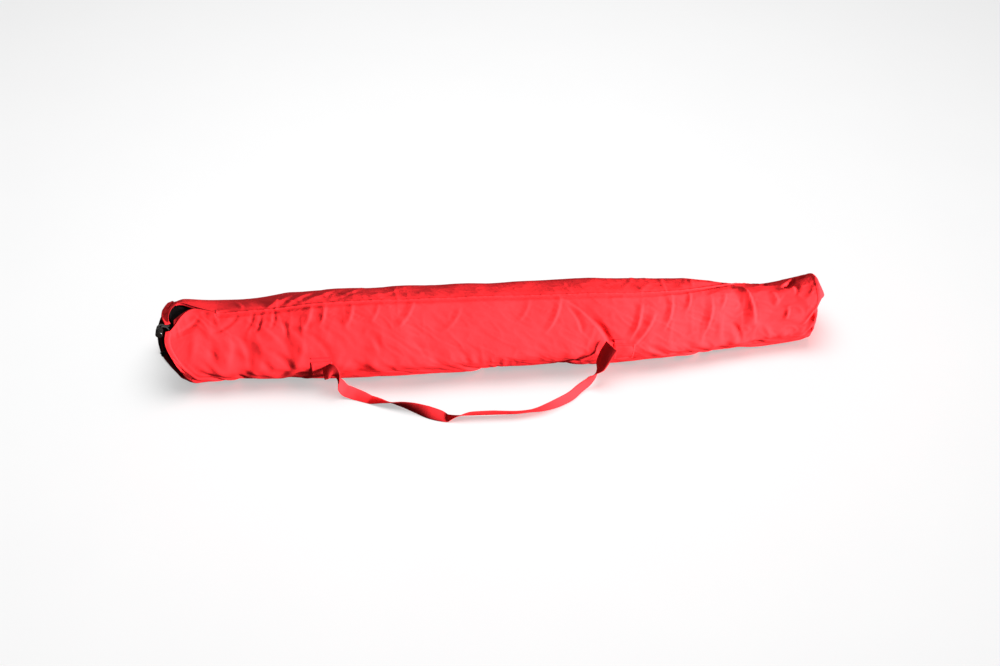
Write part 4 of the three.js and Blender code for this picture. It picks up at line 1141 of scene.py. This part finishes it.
strap_rows = np.array(STRAP, float)
strap_path = smooth_path(strap_rows[:, :3] / 1000, 300)
row_along = length_along(strap_rows[:, :3])
strap_t = np.linspace(0, row_along[-1], 301)
roll = np.radians(np.interp(strap_t, row_along, strap_rows[:, 3]))
kernel = np.hanning(15) / np.hanning(15).sum()
roll = np.convolve(np.pad(roll, 7, mode="edge"), kernel, "valid")
width = np.interp(strap_t, row_along, strap_rows[:, 4]) / 1000
strap_forward = unit(np.gradient(strap_path, axis=0))
facing_width = unit(np.cross(strap_forward, to_camera))
facing_depth = np.cross(facing_width, strap_forward)
strap_side = np.cos(roll)[:, None] * facing_width + np.sin(roll)[:, None] * facing_depth
strap_up = np.cross(strap_side, strap_forward)
STRAP_ACROSS = 12
s = np.linspace(-0.5, 0.5, STRAP_ACROSS + 1)
strap_path[:, 2] += np.abs(strap_side[:, 2]) * width / 2
curl = 0.0022 * (4 * s**2)[None] * np.sin(strap_t / 41 + 0.6)[:, None]
surface = (strap_path[:, None] + s[None, :, None] * width[:, None, None] * strap_side[:, None]
           + curl[..., None] * strap_up[:, None])
bulge = (STRAP_THICK / 2 * (0.65 + 0.35 * (1 - (2 * np.abs(s)) ** 6)))[None, :, None]
top = surface + bulge * strap_up[:, None]
bottom = surface - bulge * strap_up[:, None]
for layer in (top, bottom):
    layer[..., 2] = np.maximum(layer[..., 2], 0.0004)
numbers = np.arange(top[..., 0].size).reshape(top.shape[:2])
count = numbers.size
faces_top = grid_faces(numbers)
edge_a = np.stack([numbers[:-1, 0], numbers[1:, 0], numbers[1:, 0] + count, numbers[:-1, 0] + count], 1)
edge_b = np.stack([numbers[1:, -1], numbers[:-1, -1], numbers[:-1, -1] + count, numbers[1:, -1] + count], 1)
end_a = np.stack([numbers[0, 1:], numbers[0, :-1], numbers[0, :-1] + count, numbers[0, 1:] + count], 1)
end_b = np.stack([numbers[-1, :-1], numbers[-1, 1:], numbers[-1, 1:] + count, numbers[-1, :-1] + count], 1)
strap_faces = np.concatenate([faces_top, faces_top[:, ::-1] + count, edge_a[:, ::-1], edge_b[:, ::-1],
                              end_a[:, ::-1], end_b[:, ::-1]])
strap_cloth = np.stack([strap_t[:, None] / 1000 + 0 * s, s[None] * width[:, None], 0 * curl], -1)
strap_cloth = strap_cloth.reshape(-1, 3)
strap_painted_shade = np.repeat([0.0, 0.5], count)  # its underside is painted half-way to the coating's dark colour, as painted shade
strap = add_piece("carry_strap", np.concatenate([top.reshape(-1, 3), bottom.reshape(-1, 3)]), strap_faces,
                  "shell_nylon", body=None, replaced=["carry_strap"],
                  attributes={"cloth": np.concatenate([strap_cloth, strap_cloth]), "back": strap_painted_shade})
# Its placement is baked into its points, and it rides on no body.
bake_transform(strap)

# ---- The spring under the lock's button, which shortens as the button goes in ----
WIRE_RADIUS = 0.0004
SPRING_TURNS = 4
low, high = (np.array(corner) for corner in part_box("lock_spring"))
spring_middle = (low + high) / 2
coil_radius = (high[0] - low[0]) / 2 - WIRE_RADIUS
t = np.linspace(0, 1, 40 * SPRING_TURNS + 1)
coil = np.stack([
    spring_middle[0] + coil_radius * np.cos(2 * math.pi * SPRING_TURNS * t),
    low[1] + WIRE_RADIUS + (high[1] - low[1] - 2 * WIRE_RADIUS) * t,
    spring_middle[2] + coil_radius * np.sin(2 * math.pi * SPRING_TURNS * t),
], 1)
points, faces, cloth = tube(coil, WIRE_RADIUS, sides=8)
spring = add_piece("lock_spring", points, faces, "spring_steel", body="cord_lock", replaced=["lock_spring"])
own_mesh(spring)

# ---- CAD nodes that keep their shape ----
KEPT = {
    "liner_end_pad": "liner_padded", "backing_patch_left": "trim_nylon",
    "backing_patch_right": "trim_nylon", "lock_barrel": "lock_plastic", "lock_plunger": "lock_plastic",
}
for node_name, slot in KEPT.items():
    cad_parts[node_name].data.materials.clear()
    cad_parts[node_name].data.materials.append(MATERIALS[slot])

# ---- Floor, light and world ----
FLOOR_HALF = 8
FLOOR_Z = -0.0004
floor_mesh = bpy.data.meshes.new("floor")
floor_corners = [(x * FLOOR_HALF, y * FLOOR_HALF, FLOOR_Z) for x, y in ((-1, -1), (1, -1), (1, 1), (-1, 1))]
floor_mesh.from_pydata(floor_corners, [], [(0, 1, 2, 3)])
floor = bpy.data.objects.new("floor", floor_mesh)
bpy.context.collection.objects.link(floor)
paper = Shader("floor", Roughness=0.8)
paper_place = paper.add("TexCoord").outputs["Object"]
paper_shade = paper.mix(paper.noise(paper_place, 3.0), (0.41, 0.41, 0.413, 1), (0.43, 0.43, 0.43, 1))
paper.set(paper.surface, {"Base Color": paper_shade, "Emission Color": (1, 1, 1, 1)})
paper.set(paper.surface, {"Emission Strength": 0.45})  # keeps the shadow on the floor pale
floor_mesh.materials.append(paper.material)
floor.visible_diffuse = False  # a bright floor would light the underside
floor.visible_glossy = False


def area_light(name, place, aim, size, power):
    light = bpy.data.lights.new(name, "AREA")
    light.shape = "DISK"
    light.size = size
    light.energy = power
    obj = bpy.data.objects.new(name, light)
    bpy.context.collection.objects.link(obj)
    back = unit(np.array(place, float) - np.array(aim, float))
    right = unit(np.cross((0, 0, 1), back))
    look(obj, place, right, np.cross(back, right))
    return obj


# The key lights the bag from low on its right. It would bleach the floor, which has its own lamp overhead.
only_floor = bpy.data.collections.new("only_floor")
only_floor.objects.link(floor)
all_but_floor = bpy.data.collections.new("all_but_floor")
all_but_floor.objects.link(floor)
all_but_floor.collection_objects[0].light_linking.link_state = "EXCLUDE"
key = area_light("key", (8.5, -4.7, 2.6), TARGET, 2.4, 5100)
side = area_light("side", (-0.8, 3.0, 1.3), TARGET, 1.6, 34)
floor_lamp = area_light("floor_lamp", (0.01, 0.3, 3.5), (0, 0.3, 0), 3.0, 160)
key.light_linking.receiver_collection = all_but_floor
side.light_linking.receiver_collection = all_but_floor
floor_lamp.light_linking.receiver_collection = only_floor
world = bpy.data.worlds.new("world")
world.use_nodes = True
background = world.node_tree.nodes["Background"]
background.inputs["Strength"].default_value = 0.27
# The room is dark below the horizon, so that undersides stay in shade.
direction = world.node_tree.nodes.new("ShaderNodeTexCoord")
axes = world.node_tree.nodes.new("ShaderNodeSeparateXYZ")
horizon = world.node_tree.nodes.new("ShaderNodeMapRange")
horizon.inputs["From Min"].default_value = -0.15
horizon.inputs["From Max"].default_value = 0.05
horizon.inputs["To Min"].default_value = 0.12
world.node_tree.links.new(direction.outputs["Generated"], axes.inputs[0])
world.node_tree.links.new(axes.outputs["Z"], horizon.inputs["Value"])
world.node_tree.links.new(horizon.outputs[0], background.inputs["Color"])
bpy.context.scene.world = world
bpy.context.scene.view_settings.view_transform = "Standard"
